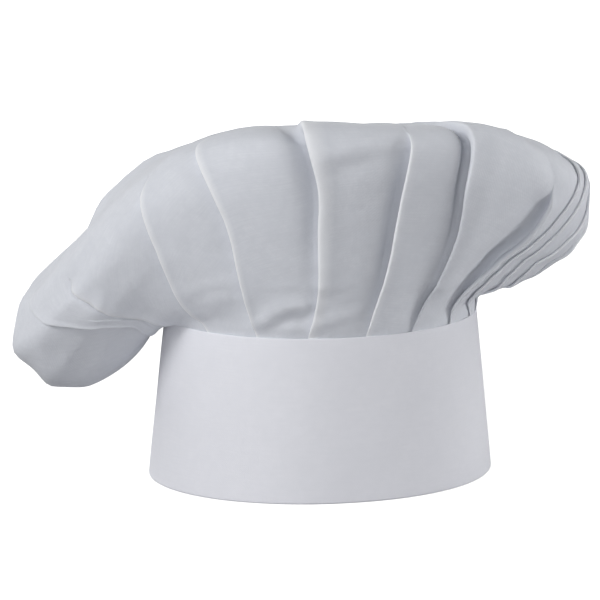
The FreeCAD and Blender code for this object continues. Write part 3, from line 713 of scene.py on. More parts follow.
def make_crown():
    count, cols = CLOTH_POINTS.shape[:2]
    faces = []
    for i in range(count - 1):
        for c in range(cols):
            if c == SLIT_LEFT and ROWS[i + 1] <= SLIT_TALL + 0.5:
                continue
            low, high, beside = i * cols, (i + 1) * cols, (c + 1) % cols
            faces.append((low + c, low + beside, high + beside, high + c))
    last = (count - 1) * cols
    for c in range(cols):
        faces.append((last + c, last + (c + 1) % cols, count * cols))
    centre = CLOTH_POINTS[-1].mean(0)[None]
    crown = new_mesh("crown", np.vstack([CLOTH_POINTS.reshape(-1, 3), centre]), faces)
    set_uv(crown, np.vstack([CLOTH_UV.reshape(-1, 2), [[0, 0]]]))
    set_attribute(crown, "cloth_s", np.append(np.repeat(ROWS, cols), CLOTH + 8))
    # masks for the twill's painted highlight on fold edges and painted shade in valleys
    set_attribute(crown, "painted_highlight", np.append(HIGHLIGHT_SHARE, 0.0))
    set_attribute(crown, "sunk", np.append(SUNK_SHADE_SHARE, 0.0))

    solid = crown.modifiers.new("thickness", "SOLIDIFY")
    solid.thickness = 0.45 * MM
    solid.offset = -1
    solid.use_rim = True
    bpy.context.view_layer.update()
    graph = bpy.context.evaluated_depsgraph_get()
    mesh = bpy.data.meshes.new_from_object(
        crown.evaluated_get(graph), preserve_all_data_layers=True, depsgraph=graph
    )
    crown.modifiers.clear()
    thin = crown.data
    crown.data = mesh
    mesh.name = crown.name
    bpy.data.meshes.remove(thin)

    heights = np.zeros(len(mesh.vertices), np.float32)
    mesh.attributes["cloth_s"].data.foreach_get("value", heights)
    finish(crown, "twill", replaces="crown")
    bend(crown)


make_crown()


# ---- strips of cloth and threads
def strip_mesh(name, profiles, angles, place):
    """A closed profile of (offset, height), or one for each angle, carried round."""
    profiles = np.asarray(profiles, float)
    angles = np.asarray(angles, float)[:, None]
    if profiles.ndim == 2:
        profiles = np.repeat(profiles[None], len(angles), 0)
    n, m = profiles.shape[:2]
    points = place(angles, profiles[..., 1], profiles[..., 0]).reshape(-1, 3)
    faces = []
    for i in range(n - 1):
        here, beyond = i * m, (i + 1) * m
        for j in range(m):
            after = (j + 1) % m
            faces.append((here + j, beyond + j, beyond + after, here + after))
    for start, flip in ((0, False), ((n - 1) * m, True)):
        for j in range(m // 2 - 1):
            quad = [start + j, start + j + 1, start + m - 2 - j, start + m - 1 - j]
            faces.append(quad[::-1] if flip else quad)
    ob = new_mesh(name, points, faces)
    steps = np.linalg.norm(np.diff(profiles[0], axis=0), axis=1)
    uv = np.zeros((n, m, 2))
    uv[..., 0] = np.radians(angles) * np.hypot(points[:, 0], points[:, 1]).mean()
    uv[..., 1] = np.concatenate([[0], np.cumsum(steps)])
    set_uv(ob, uv.reshape(-1, 2))
    return ob


def thicken(line, thick):
    """Closed profile round a line of (offset, height) points, thinner at its ends."""
    line = np.array(line, float)
    along = unit(np.gradient(line, axis=0))
    aside = np.stack([along[:, 1], -along[:, 0]], -1) * thick / 2
    aside[[0, -1]] *= 0.45
    return np.vstack([line + aside, (line - aside)[::-1]])


def upright(offset, heights):
    return [(offset, z) for z in heights]


def arc(offset, z, radius, start, end, count):
    turns = np.radians(np.linspace(start, end, count))
    return [(offset + radius * math.cos(a), z + radius * math.sin(a)) for a in turns]


def tubes(name, paths, radii, sides, hint=None):
    """Round threads along paths (thread, point, xyz), closed at both ends.

    hint is where the first side of each ring faces; without it, away from the Z axis."""
    paths = np.asarray(paths, float)
    n, m = paths.shape[:2]
    along = unit(np.gradient(paths, axis=1))
    if hint is None:
        hint = paths * np.array([1.0, 1.0, 0.0])
    out = unit(hint - (hint * along).sum(-1, keepdims=True) * along)
    aside = np.cross(along, out)
    turn = (np.arange(sides) * 2 * math.pi / sides)[None, None, :, None]
    radii = np.broadcast_to(np.asarray(radii, float), (n, m))[..., None, None]
    ring = (out[:, :, None] * np.cos(turn) + aside[:, :, None] * np.sin(turn)) * radii
    start = (np.arange(n) * m * sides)[:, None, None]
    i = start + np.arange(m - 1)[None, :, None] * sides
    j = np.arange(sides)[None, None, :]
    after = (j + 1) % sides
    quads = np.stack([i + j, i + after, i + sides + after, i + sides + j], -1)
    faces = quads.reshape(-1, 4).tolist()
    for k in range(n):
        first = k * m * sides
        last = first + (m - 1) * sides
        faces.append([first + q for q in reversed(range(sides))])
        faces.append([last + q for q in range(sides)])
    ob = new_mesh(name, (paths[:, :, None] + ring).reshape(-1, 3), faces)
    steps = np.linalg.norm(np.diff(paths, axis=1), axis=-1)
    uv = np.zeros((n, m, sides, 2))
    uv[..., 0] = np.concatenate([np.zeros((n, 1)), np.cumsum(steps, 1)], 1)[..., None]
    uv[..., 1] = np.abs(np.arange(sides) * 2.0 / sides - 1) * 0.6
    set_uv(ob, uv.reshape(-1, 2))
    return ob


# ---- headband: one piece of twill folded lengthwise round its interlining
def make_headband():
    top_radius = (OUTER_PLY - TURNED_PLY) / 2
    low_radius = (OUTER_PLY - INNER_PLY) / 2
    line = upright(TURNED_PLY, (85.2, 86.6, 87.9, 88.9))
    line += arc((OUTER_PLY + TURNED_PLY) / 2, 89.35, top_radius, 180, 0, 7)
    line += upright(OUTER_PLY, (88.6, 87.4, *np.linspace(85.5, 3.4, 40), 2.2))
    line += arc((OUTER_PLY + INNER_PLY) / 2, low_radius + PLY / 2, low_radius, 0, -180, 11)
    line += upright(INNER_PLY, (2.2, *np.linspace(3.4, 86.0, 34), 87.6, 88.8, 89.3))
    angles = np.linspace(TAB_ROOT, UNDERLAP + 360.0, 361)
    band = strip_mesh("headband", thicken(line, PLY), angles, band_at)
    finish(band, "twill", replaces="headband", look="band_twill")
    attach(band, "headband")

    profile = thicken(upright(-1.03, np.linspace(1.4, 82.0, 22)), CORE_THICK)
    angles = np.linspace(TAB_ROOT + 0.5, UNDERLAP + 359.5, 181)
    core = strip_mesh("headband_interlining", profile, angles, band_at)
    finish(core, "interlining", replaces="headband_interlining")
    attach(core, "headband")


make_headband()

# ---- closure tab: a turned-out, topstitched end of the band
TAB_LONG = math.radians(TAB_ROOT - TAB_TIP) * RIM
TAB_CORNER = 6.0  # radius of its corners
# distances from the tip of the last sections, closing up towards it
TAB_END = (6, 5.5, 5, 4.4, 3.8, 3.2, 2.6, 2.1, 1.6, 1.2, 0.85, 0.55, 0.3, 0.12, 0.02)


def tab_profile(run):
    """Section of the tab, run mm from its root."""
    to_tip = TAB_LONG - run
    half = TAB_HALF * math.sqrt(max(0.0, 1 - (1 - min(to_tip / TAB_HALF, 1.0)) ** 2))
    inset = TAB_CORNER - min(to_tip, TAB_CORNER)
    margin = TAB_CORNER - math.sqrt(max(0.0, TAB_CORNER ** 2 - inset ** 2)) + 0.15
    low, high = margin + half, SEAM - margin - half
    z = np.linspace(low, high, 46)
    free = float(smooth(run, 0, 2.0))
    # topstitching pulls both faces in, 3 mm inside the long edges and 2.1 mm inside the tip
    to_stitch = np.minimum(np.minimum(z - 3.0, SEAM - 3.0 - z), to_tip - 2.1)
    dent = 0.42 * np.exp(-(to_stitch ** 2)) * free
    puff = 0.22 * smooth(np.minimum(np.minimum(z, SEAM - z), to_tip), 3.5, 9.0) * free
    outer = list(zip(-TAB_HALF + half - dent + puff, z))
    inner = list(zip(-TAB_HALF - half + dent * 0.6, z))[::-1]
    top = arc(-TAB_HALF, high, half, 0, 180, 9)[1:-1]
    bottom = arc(-TAB_HALF, low, half, 180, 360, 9)[1:-1]
    return outer + top + inner + bottom


def make_tab():
    runs = np.concatenate([np.linspace(0, TAB_LONG - 6.5, 70), TAB_LONG - np.array(TAB_END)])
    angles = TAB_ROOT - np.degrees(runs / RIM)
    # the profile starts half way round the lower edge, so that its two halves face each other
    profiles = np.roll(np.array([tab_profile(run) for run in runs]), 4, axis=1)
    tab = strip_mesh("closure_tab", profiles, angles, tab_at)
    finish(tab, "twill", replaces="closure_tab", look="band_twill")
    bend(tab)

    angles = np.linspace(TAB_ROOT - 1.2, TAB_TIP + 1.2, 60)
    profile = thicken(upright(-TAB_HALF, np.linspace(2.0, 88.0, 20)), CORE_THICK)
    core = strip_mesh("closure_tab_interlining", profile, angles, tab_at)
    finish(core, "interlining", replaces="closure_tab_interlining")
    bend(core)


make_tab()


# ---- the two tapes
def tape_profile(inner, outer, low, high):
    """A woven tape: flat, with selvedges thinner than the middle."""
    middle, half = (inner + outer) / 2, (outer - inner) / 2
    levels = [low + 0.5, *np.linspace(low + 1.6, high - 1.6, 22), high - 0.5]
    face = upright(outer, levels)
    face[0], face[-1] = (outer - 0.12, levels[0]), (outer - 0.12, levels[-1])
    near, far = middle + half * 0.6, middle - half * 0.6
    return [
        (middle, low), (near, low + 0.15), *face, (near, high - 0.15), (middle, high),
        (middle, high - 0.02), (far, high - 0.15), *upright(inner, levels[::-1]),
        (far, low + 0.15), (middle, low + 0.02),
    ]


def make_loop_tape():
    profile = tape_profile(inner=0.02, outer=0.50, low=20.0, high=70.0)
    base = strip_mesh("loop_tape", profile, np.linspace(12.0, -46.0, 90), band_at)
    count = 3300
    angle = RNG.uniform(-45.2, 11.2, count)[:, None]
    height = RNG.uniform(21.6, 68.4, count)[:, None]
    turn = RNG.uniform(0, math.pi * 2, count)[:, None]
    size = RNG.uniform(0.26, 0.42, count)[:, None]
    lean = RNG.uniform(-0.5, 0.5, count)[:, None]
    t = np.linspace(0, 1, 6)
    across, up = np.cos(math.pi * (1 - t)), np.sin(math.pi * t)
    x = size * (across * np.cos(turn) + up * lean * np.sin(turn))
    z = size * (across * np.sin(turn) - up * lean * np.cos(turn))
    paths = band_at(angle + np.degrees(x / 93.0), height + z, 0.44 + 1.55 * size * up)
    pile = tubes("loop_pile", paths, radii=0.055, sides=3)
    finish(base, "loop_tape", replaces="loop_tape")
    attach(base, "headband")
    finish(pile, "loop_tape")
    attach(pile, "headband")


def make_hook_tape():
    profile = tape_profile(inner=-2.60, outer=-2.16, low=20.5, high=69.5)
    base = strip_mesh("hook_tape", profile, np.linspace(11.0, -15.8, 50), tab_at)
    angle, height = np.meshgrid(np.linspace(9.8, -14.6, 27), np.linspace(23.6, 66.4, 28))
    angle, height = angle.ravel()[:, None], height.ravel()[:, None]
    # the outline of one hook: reach to the side, rise off the tape; columns face in turn up, down
    reach = np.array([0.0, 0.0, 0.02, 0.16, 0.34, 0.40])
    rise = np.array([0.0, 0.30, 0.52, 0.68, 0.62, 0.46])
    column = np.round((angle - angle.min()) / 0.94).astype(int)
    facing = np.where(column % 2 == 0, 1.0, -1.0)
    paths = tab_at(angle, height + facing * reach, -2.52 - rise)
    hint = np.broadcast_to(np.array([0.35, 0.1, 1.0]), paths.shape)
    pins = tubes("hook_pins", paths, radii=(0.16, 0.13, 0.12, 0.12, 0.11, 0.08), sides=5, hint=hint)
    finish(base, "hook_tape", replaces="hook_tape")
    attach(base, "closure_tab")
    finish(pins, "hook_tape")
    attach(pins, "closure_tab")


make_loop_tape()
make_hook_tape()

# ---- stitching
STITCH_TAPER = np.array([0.55, 0.85, 1.0, 1.04, 1.06, 1.04, 1.0, 0.85, 0.55])
STITCH_SIDES = 8
TACK_RADIUS = 0.2
TACK_SIDES = 6


def arch(t):
    """Rise of a stitch out of the cloth and back."""
    return np.sin(math.pi * t) ** 0.55


def stitch_ends(node):
    """(start, end) of the middle line of every separate solid of a CAD node, in mm."""
    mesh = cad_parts[node].data
    flat = np.zeros(len(mesh.vertices) * 3)
    mesh.vertices.foreach_get("co", flat)
    places = np.round(flat.reshape(-1, 3) / MM, 3)
    points, merged = np.unique(places, axis=0, return_inverse=True)
    edges = np.zeros(len(mesh.edges) * 2, np.int64)
    mesh.edges.foreach_get("vertices", edges)
    edges = merged.ravel()[edges].reshape(-1, 2)
    label = np.arange(len(points))
    while True:  # until every solid carries the label of its lowest point
        low = np.minimum(label[edges[:, 0]], label[edges[:, 1]])
        new = label.copy()
        np.minimum.at(new, edges[:, 0], low)
        np.minimum.at(new, edges[:, 1], low)
        new = new[new]
        if (new == label).all():
            break
        label = new
    ends = []
    for one in np.unique(label):
        solid = points[label == one]
        centre = (solid.min(0) + solid.max(0)) / 2
        axis = np.linalg.svd(solid - solid.mean(0), full_matrices=False)[2][0]
        t = (solid - centre) @ axis
        ends.append((centre + axis * t.min(), centre + axis * t.max()))
    return np.array(ends)


def stitch_row(name, place, side, body):
    """Threads where the CAD node's stitches are, on the outer (1) or inner (-1) side."""
    ends = stitch_ends(name)
    angle = np.degrees(np.arctan2(ends[..., 0], ends[..., 1]))
    angle[:, 1] = angle[:, 0] + (angle[:, 1] - angle[:, 0] + 180) % 360 - 180
    z = ends[..., 2]
    off = np.hypot(ends[..., 0], ends[..., 1]).mean(1) - (RIM - TAPER * z.mean(1))
    if place is tab_at:
        off = off - tab_off(angle.mean(1))
    z = z + RNG.uniform(-0.12, 0.12, (len(ends), 2))
    t = np.linspace(0, 1, len(STITCH_TAPER))
    angles = angle[:, :1] * (1 - t) + angle[:, 1:] * t
    heights = z[:, :1] * (1 - t) + z[:, 1:] * t
    offsets = (off - side * 0.21)[:, None] + side * (-0.30 + 0.40 * arch(t))
    paths = place(angles, heights, offsets)
    row = tubes(name, paths, radii=0.25 * STITCH_TAPER, sides=STITCH_SIDES)
    finish(row, "thread", replaces=name)
    if body == "closure_tab":
        bend(row)
    else:
        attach(row, body)


def zigzag(width, height, turns):
    """Path of a bar tack: across, up, and the height off the cloth."""
    per_stroke = 4
    i = np.arange(turns * per_stroke * 2 + 1)
    x = (i / i[-1] - 0.5) * width
    swing = np.abs(((i / per_stroke) % 2) - 1) * 2 - 1
    y = np.sign(swing) * np.abs(swing) ** 0.8 * height / 2
    return x, y, 0.30 - 0.42 * np.abs(swing) ** 6


def make_opening_tacks():
    x, y, lift = zigzag(width=8.0, height=1.9, turns=13)
    paths = []
    for angle, z in ((TAB_ROOT + 3.4, 86.0), (UNDERLAP - 4.0, 82.0)):
        paths.append(band_at(angle + np.degrees(x / 88.0), z + y, lift))
    tacks = tubes("opening_bartacks", paths, TACK_RADIUS, TACK_SIDES)
    finish(tacks, "thread", replaces="opening_bartacks")
    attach(tacks, "headband")


for row_name, row_place, row_side, row_body in (
    ("loop_tape_stitching", band_at, 1.0, "headband"),
    ("underlap_edge_stitching", band_at, 1.0, "headband"),
    ("crown_seam_stitching", band_at, -1.0, "headband"),
    ("hook_tape_stitching", tab_at, 1.0, "closure_tab"),
    ("closure_tab_edge_stitching", tab_at, 1.0, "closure_tab"),
):
    stitch_row(row_name, row_place, row_side, row_body)
make_opening_tacks()

# ---- the crown's slit: rolled hem, its stitches and the bar tack above it
SLIT_TOP = int(np.sum(ROWS <= SLIT_TALL + 0.5))  # first row above the slit
CLOTH_NORMALS = unit(
    np.cross(
        np.roll(CLOTH_POINTS, -1, 1) - np.roll(CLOTH_POINTS, 1, 1),
        np.gradient(CLOTH_POINTS, axis=0),
    )
)


def make_slit_hem():
    points, normals, top = CLOTH_POINTS, CLOTH_NORMALS, SLIT_TOP
    sunk, sides = 0.2, 10
    left = points[:top, SLIT_LEFT] - normals[:top, SLIT_LEFT] * sunk
    right = points[:top, SLIT_RIGHT] - normals[:top, SLIT_RIGHT] * sunk
    peak = (points[top, SLIT_LEFT] + points[top, SLIT_RIGHT]) / 2
    peak = peak - normals[top, SLIT_LEFT] * sunk
    path = np.vstack([left, peak[None], right[::-1]])
    hint = np.vstack([normals[: top + 1, SLIT_LEFT], normals[:top, SLIT_RIGHT][::-1]])
    hem = tubes("crown_slit_hem", path[None], radii=0.62, sides=sides, hint=hint[None])
    finish(hem, "twill")
    bend(hem)


def make_slit_stitches():
    points, normals = CLOTH_POINTS, CLOTH_NORMALS
    inset, long, pitch = 2.3, 2.3, 3.0
    taper = np.array([0.6, 0.9, 1, 1.04, 1, 0.9, 0.6])
    sewn = (ROWS > 1) & (ROWS <= SLIT_TALL + 0.5)
    heights = ROWS[sewn]
    rise = (-0.22 + 0.36 * arch(np.linspace(0, 1, len(taper))))[:, None]
    paths, hints, levels = [], [], []
    for column, out in ((SLIT_LEFT, -1), (SLIT_RIGHT, 1)):
        edge, facing = points[sewn, column], normals[sewn, column + out]
        line = edge + unit(points[sewn, column + out * 2] - edge) * inset + facing * 0.02
        for start in np.arange(0.8, heights[-1] - 1 - long, pitch):
            s = np.linspace(start, start + long, len(taper))
            path, hint = (
                np.stack([np.interp(s, heights, values[:, axis]) for axis in range(3)], -1)
                for values in (line, facing)
            )
            paths.append(path + hint * rise)
            hints.append(hint)
            levels.append(s)
    stitches = tubes(
        "crown_slit_stitching", paths, 0.2 * taper, STITCH_SIDES, hint=np.array(hints)
    )
    finish(stitches, "thread")
    bend(stitches)


def make_slit_tack():
    row = SLIT_TOP + 1
    line, left = CLOTH_POINTS[row], SLIT_LEFT
    centre = (line[left] + line[SLIT_RIGHT]) / 2
    across = unit(line[left + 3] - line[left - 2])
    out = unit(CLOTH_NORMALS[row, left - 2 : left + 4].mean(0))
    up = unit(np.cross(out, across))
    x, y, lift = zigzag(width=9.0, height=2.0, turns=14)
    # the tack follows the cloth's own relief across the row
    near = line[left - 4 : left + 6] - centre
    order = np.argsort(near @ across)
    relief = np.interp(x, (near @ across)[order], (near @ out)[order])
    path = centre + across * x[:, None] + up * y[:, None] + out * (lift + relief)[:, None]
    path = path[None]
    hint = np.broadcast_to(out, path.shape)
    tack = tubes("slit_bartack", path, TACK_RADIUS, TACK_SIDES, hint=hint)
    finish(tack, "thread", replaces="slit_bartack")
    bend(tack)


make_slit_hem()
make_slit_stitches()
make_slit_tack()

# ---- care label: blank satin inside the band, sewn along its top edge
LABEL_ANGLE = -74.0
LABEL_TOP = 62.0  # height of the line it hangs from
LABEL_WIDE = 26.0
LABEL_DROP = 34.0
LABEL_RADIUS = 88.0  # turns widths into angles


def label_angle(x):
    return LABEL_ANGLE + np.degrees(x / LABEL_RADIUS)


def make_label():
    nx, nz = 27, 40
    across = np.linspace(-LABEL_WIDE / 2, LABEL_WIDE / 2, nx)
    sewn = np.linspace(LABEL_TOP + 1.7, LABEL_TOP - 1, 8)
    hanging = np.linspace(LABEL_TOP - 2, LABEL_TOP - LABEL_DROP, nz - 8)
    x, z = np.meshgrid(across, np.concatenate([sewn, hanging]))
    below = LABEL_TOP - z
    down = smooth(below, 0, LABEL_DROP)
    off = BAND_BACK - 0.22 - 1.1 * down ** 1.3 - 0.35 * down * np.sin(x / 6.0 + 0.6)
    off = off - 0.5 * smooth(below, 26, 34) * (x / (LABEL_WIDE / 2)) ** 2
    sides = [band_at(label_angle(x), z, off + half).reshape(-1, 3) for half in (-0.13, 0.13)]
    faces, m = [], nx * nz
    for i in range(nz - 1):
        for j in range(nx - 1):
            here, under = i * nx + j, (i + 1) * nx + j
            quad = (here, here + 1, under + 1, under)
            faces.append(quad[::-1])
            faces.append(tuple(m + corner for corner in quad))
    rim = list(range(nx))
    rim += [i * nx + nx - 1 for i in range(1, nz)]
    rim += [(nz - 1) * nx + j for j in range(nx - 2, -1, -1)]
    rim += [i * nx for i in range(nz - 2, 0, -1)]
    for a, b in zip(rim, rim[1:] + rim[:1]):
        faces.append((a, b, m + b, m + a))
    label = new_mesh("care_label", np.vstack(sides), faces)
    set_uv(label, np.tile(np.stack([x, z], -1).reshape(-1, 2), (2, 1)))
    finish(label, "label_satin", replaces="care_label")
    bend(label)


def make_label_stitches():
    margin, pitch, long = 2.2, 3.08, 2.4
    centres = -LABEL_WIDE / 2 + margin + np.arange(8)[:, None] * pitch
    t = np.linspace(0, 1, len(STITCH_TAPER))
    x = centres - long / 2 + long * t
    paths = band_at(label_angle(x), LABEL_TOP + 0.9, -2.17 - 0.33 * arch(t))
    stitches = tubes("care_label_stitching", paths, 0.19 * STITCH_TAPER, STITCH_SIDES)
    finish(stitches, "thread", replaces="care_label_stitching")
    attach(stitches, "headband")


make_label()
make_label_stitches()


# ---- materials
class Shader:
    """A node tree; every input takes either a plain value or another node's socket."""

    def __init__(self, owner):
        owner.use_nodes = True
        self.owner = owner
        self.tree = owner.node_tree
        self.tree.nodes.clear()

    def node(self, kind, inputs=None, **settings):
        made = self.tree.nodes.new("ShaderNode" + kind)
        for key, value in settings.items():
            setattr(made, key, value)
        for key, value in (inputs or {}).items():
            if isinstance(value, bpy.types.NodeSocket):
                self.tree.links.new(value, made.inputs[key])
            else:
                made.inputs[key].default_value = value
        return made

    def pattern(self, kind, vector, inputs, **settings):
        """A texture; the names of its inputs are given in lower case with underscores."""
        named = {key.replace("_", " ").title(): value for key, value in inputs.items()}
        return self.node(kind, {"Vector": vector, **named}, **settings)

    def noise(self, vector, **inputs):
        return self.pattern("TexNoise", vector, inputs).outputs["Fac"]

    def cells(self, vector, **inputs):
        return self.pattern("TexVoronoi", vector, inputs).outputs["Distance"]

    def bands(self, vector, direction, **inputs):
        settings = {"wave_type": "BANDS", "bands_direction": direction}
        return self.pattern("TexWave", vector, inputs, **settings).outputs["Fac"]

    def cloth_uv(self):
        return self.node("UVMap", uv_map="cloth").outputs[0]

    def object_place(self):
        return self.node("TexCoord").outputs["Object"]

    def attribute(self, name):
        return self.node("Attribute", attribute_name=name).outputs["Fac"]

    def scaled(self, vector, *scale):
        return self.node("Mapping", {"Vector": vector, "Scale": scale}).outputs[0]

    def mix(self, factor, a, b):
        return self.node("Mix", {0: factor, 6: a, 7: b}, data_type="RGBA").outputs[2]

    def ramp(self, value, to, over=(0.3, 0.7), **settings):
        """Map the range over onto the range to."""
        ranges = {"From Min": over[0], "From Max": over[1], "To Min": to[0], "To Max": to[1]}
        return self.node("MapRange", {"Value": value, **ranges}, **settings).outputs[0]

    def bumps(self, *layers):
        """Bumps laid one over another, the lowest first: (height, distance, strength)."""
        below = {}
        for height, distance, strength in layers:
            values = {"Height": height, "Distance": distance, "Strength": strength, **below}
            normal = self.node("Bump", values).outputs[0]
            below = {"Normal": normal}
        return normal

    def surface(self, values):
        principled = self.node("BsdfPrincipled", values)
        self.node("OutputMaterial", {0: principled.outputs[0]})
        return self.owner

    def camera_switch(self, light, seen):
        """One shader for the light that reaches the hat, another for what the camera sees."""
        camera = self.node("LightPath").outputs["Is Camera Ray"]
        return self.node("MixShader", {0: camera, 1: light, 2: seen}).outputs[0]


def material_shader(name):
    return Shader(bpy.data.materials.new(name))


def twill(name, light, dark, crumple, sheen, painted_highlight=None):
    """Twill: diagonal wales over fine yarns, slubs, soft mottling and crumple. Given a highlight
    colour, it also paints highlight on the crown's fold edges and paints shade into its valleys,
    from the crown's attributes.
    """
    shader = material_shader(name)
    uv, place = shader.cloth_uv(), shader.object_place()
    wale = shader.bands(
        uv, "DIAGONAL", scale=560.0, distortion=1.2, detail=2.0, detail_scale=1.4
    )
    mirrored = shader.scaled(uv, 1, -1, 1)
    yarn = shader.bands(mirrored, "DIAGONAL", scale=900.0, distortion=1.5, detail=1.0)
    slub = shader.scaled(uv, 70.0, 1100.0, 1.0)
    slub = shader.noise(slub, scale=1.0, detail=3.0, roughness=0.6)
    cross_slub = shader.scaled(uv, 1500.0, 110.0, 1.0)
    cross_slub = shader.noise(cross_slub, scale=1.0, detail=2.0)
    cloud = shader.noise(place, scale=42.0, detail=4.0, roughness=0.55)
    fine = shader.noise(place, scale=210.0, detail=3.0, roughness=0.6)
    soft = shader.noise(place, scale=62.0, detail=3.0, roughness=0.5)
    colour = light
    # pattern, the range of it that darkens, how much it darkens at most
    for pattern, over, most in (
        (wale, (0.0, 1.0), 0.55),
        (slub, (0.38, 0.66), 0.55),
        (cross_slub, (0.40, 0.70), 0.30),
        (cloud, (0.35, 0.68), 0.55),
        (fine, (0.40, 0.62), 0.45),
    ):
        colour = shader.mix(shader.ramp(pattern, to=(0.0, most), over=over), colour, dark)
    if painted_highlight:
        # painted highlight along the crown's fold edges
        colour = shader.mix(shader.attribute("painted_highlight"), colour, painted_highlight)
        # painted shade: the crown's valleys darkened towards this grey-blue, as baked occlusion
        sunk = shader.ramp(shader.attribute("sunk"), to=(0.0, 0.75), over=(0.0, 1.0))
        colour = shader.mix(sunk, colour, (0.50, 0.52, 0.57, 1))
    roughness = shader.ramp(slub, to=(0.80, 0.92))
    weave = shader.node("Math", {0: wale, 1: yarn}, operation="ADD").outputs[0]
    return shader.surface({
        "Base Color": colour,
        "Roughness": roughness,
        "Specular IOR Level": 0.28,
        "Sheen Weight": sheen,
        "Sheen Roughness": 0.45,
        "Normal": shader.bumps(
            (soft, 0.0016, crumple),
            (fine, 0.0004, crumple * 1.6),
            (slub, 0.00010, 0.35),
            (weave, 0.00007, 0.35),
        ),
    })


def interlining():
    """Bonded non-woven: felted fibres with small thin spots."""
    shader = material_shader("interlining")
    place = shader.object_place()
    fibre = shader.noise(place, scale=900.0, detail=4.0, roughness=0.7, distortion=2.0)
    dots = shader.cells(place, scale=620.0)
    return shader.surface({
        "Base Color": shader.mix(fibre, (0.86, 0.86, 0.83, 1), (0.72, 0.72, 0.70, 1)),
        "Roughness": shader.ramp(fibre, to=(0.85, 0.97)),
        "Normal": shader.bumps((fibre, 0.0002, 0.6), (dots, 0.0002, 0.5)),
    })


def thread():
    """Spun thread: plies twisted together."""
    shader = material_shader("thread")
    uv = shader.cloth_uv()
    twist = shader.bands(uv, "DIAGONAL", scale=800.0, distortion=0.6, detail=1.0)
    fuzz = shader.noise(uv, scale=6000.0, detail=2.0)
    return shader.surface({
        "Base Color": shader.mix(twist, (0.80, 0.81, 0.845, 1), (0.87, 0.88, 0.90, 1)),
        "Roughness": shader.ramp(fuzz, to=(0.42, 0.58)),
        "Sheen Weight": 0.2,
        "Normal": shader.bumps((twist, 0.00012, 0.7), (fuzz, 0.00004, 0.3)),
    })


def loop_tape():
    """Knitted ground of the loop tape and its brushed pile."""
    shader = material_shader("loop_tape")
    knit = shader.cells(shader.scaled(shader.cloth_uv(), 1400.0, 1000.0, 1.0), scale=1.0)
    pile = shader.noise(shader.object_place(), scale=500.0, detail=3.0)
    return shader.surface({
        "Base Color": shader.mix(pile, (0.93, 0.935, 0.955, 1), (0.86, 0.865, 0.89, 1)),
        "Roughness": shader.ramp(pile, to=(0.6, 0.78)),
        "Sheen Weight": 0.3,
        "Normal": shader.bumps((knit, 0.0003, 0.6)),
    })


def hook_tape():
    """Moulded hooks on a woven ground."""
    shader = material_shader("hook_tape")
    uv = shader.cloth_uv()
    ribs = shader.bands(uv, "Y", scale=300.0)
    spots = shader.noise(uv, scale=700.0, detail=2.0)
    return shader.surface({
        "Base Color": shader.mix(spots, (0.93, 0.935, 0.95, 1), (0.85, 0.855, 0.875, 1)),
        "Roughness": shader.ramp(spots, to=(0.30, 0.46)),
        "Normal": shader.bumps((ribs, 0.0002, 0.5)),
    })


def label_satin():
    """Woven satin of the blank label."""
    shader = material_shader("label_satin")
    uv = shader.cloth_uv()
    floats = shader.noise(shader.scaled(uv, 500.0, 5000.0, 1.0), scale=1.0, detail=2.0)
    ribs = shader.bands(uv, "Y", scale=900.0)
    return shader.surface({
        "Base Color": shader.mix(floats, (0.88, 0.88, 0.875, 1), (0.80, 0.80, 0.80, 1)),
        "Roughness": shader.ramp(floats, to=(0.28, 0.42)),
        "Anisotropic": 0.5,
        "Sheen Weight": 0.15,
        "Normal": shader.bumps((ribs, 0.00005, 0.4), (floats, 0.00006, 0.5)),
    })


def paint(ob, material):
    ob.data.materials.clear()
    ob.data.materials.append(material)


LOOKS = {
    "twill": twill(
        "twill",
        light=(0.83, 0.85, 0.898, 1),
        dark=(0.725, 0.747, 0.80, 1),
        crumple=0.32,
        sheen=0.16,
        # colour of the painted highlight on the crown's fold edges
        painted_highlight=(0.97, 0.98, 1.0, 1),
    ),
    # the band is the same twill as the crown, its colour set lighter to carry the brighter light on
    # the band: painted light
    "band_twill": twill(
        "band_twill",
        light=(0.895, 0.90, 0.95, 1),
        dark=(0.835, 0.843, 0.895, 1),
        crumple=0.075,
        sheen=0.34,
    ),
    "interlining": interlining(),
    "thread": thread(),
    "loop_tape": loop_tape(),
    "hook_tape": hook_tape(),
    "label_satin": label_satin(),
}
# look of a CAD node by the first of these words in its name; twill if there is none
CAD_LOOKS = {
    "interlining": "interlining",
    "stitching": "thread",
    "bartack": "thread",
    "loop_tape": "loop_tape",
    "hook_tape": "hook_tape",
    "label": "label_satin",
}
for piece, look_name in pieces:
    paint(piece, LOOKS[look_name])
for node_name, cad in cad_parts.items():
    matches = (look for word, look in CAD_LOOKS.items() if word in node_name)
    paint(cad, LOOKS[next(matches, "twill")])

# ---- stage, light, camera (in metres)
scene = bpy.context.scene
WHITE = (1, 1, 1, 1)


def make_floor():
    half = 6
    mesh = bpy.data.meshes.new("floor")
    corners = [(-half, -half, 0), (half, -half, 0), (half, half, 0), (-half, half, 0)]
    mesh.from_pydata(corners, [], [(0, 1, 2, 3)])
    floor = bpy.data.objects.new("floor", mesh)
    scene.collection.objects.link(floor)

    # the camera sees the floor glow towards white with distance from the hat
    shader = material_shader("floor")
    dark = shader.node("BsdfDiffuse", {"Color": (0.42, 0.42, 0.43, 1)}).outputs[0]
    pale = shader.node("BsdfDiffuse", {"Color": (0.9, 0.9, 0.9, 1)}).outputs[0]
    far = shader.node("VectorMath", {0: shader.object_place()}, operation="LENGTH")
    strength = shader.ramp(
        far.outputs["Value"], to=(0.62, 1.0), over=(0.15, 1.6), interpolation_type="SMOOTHSTEP"
    )
    glow = shader.node("Emission", {"Color": WHITE, "Strength": strength}).outputs[0]
    seen = shader.node("AddShader", {0: pale, 1: glow}).outputs[0]
    shader.node("OutputMaterial", {0: shader.camera_switch(dark, seen)})
    mesh.materials.append(shader.owner)


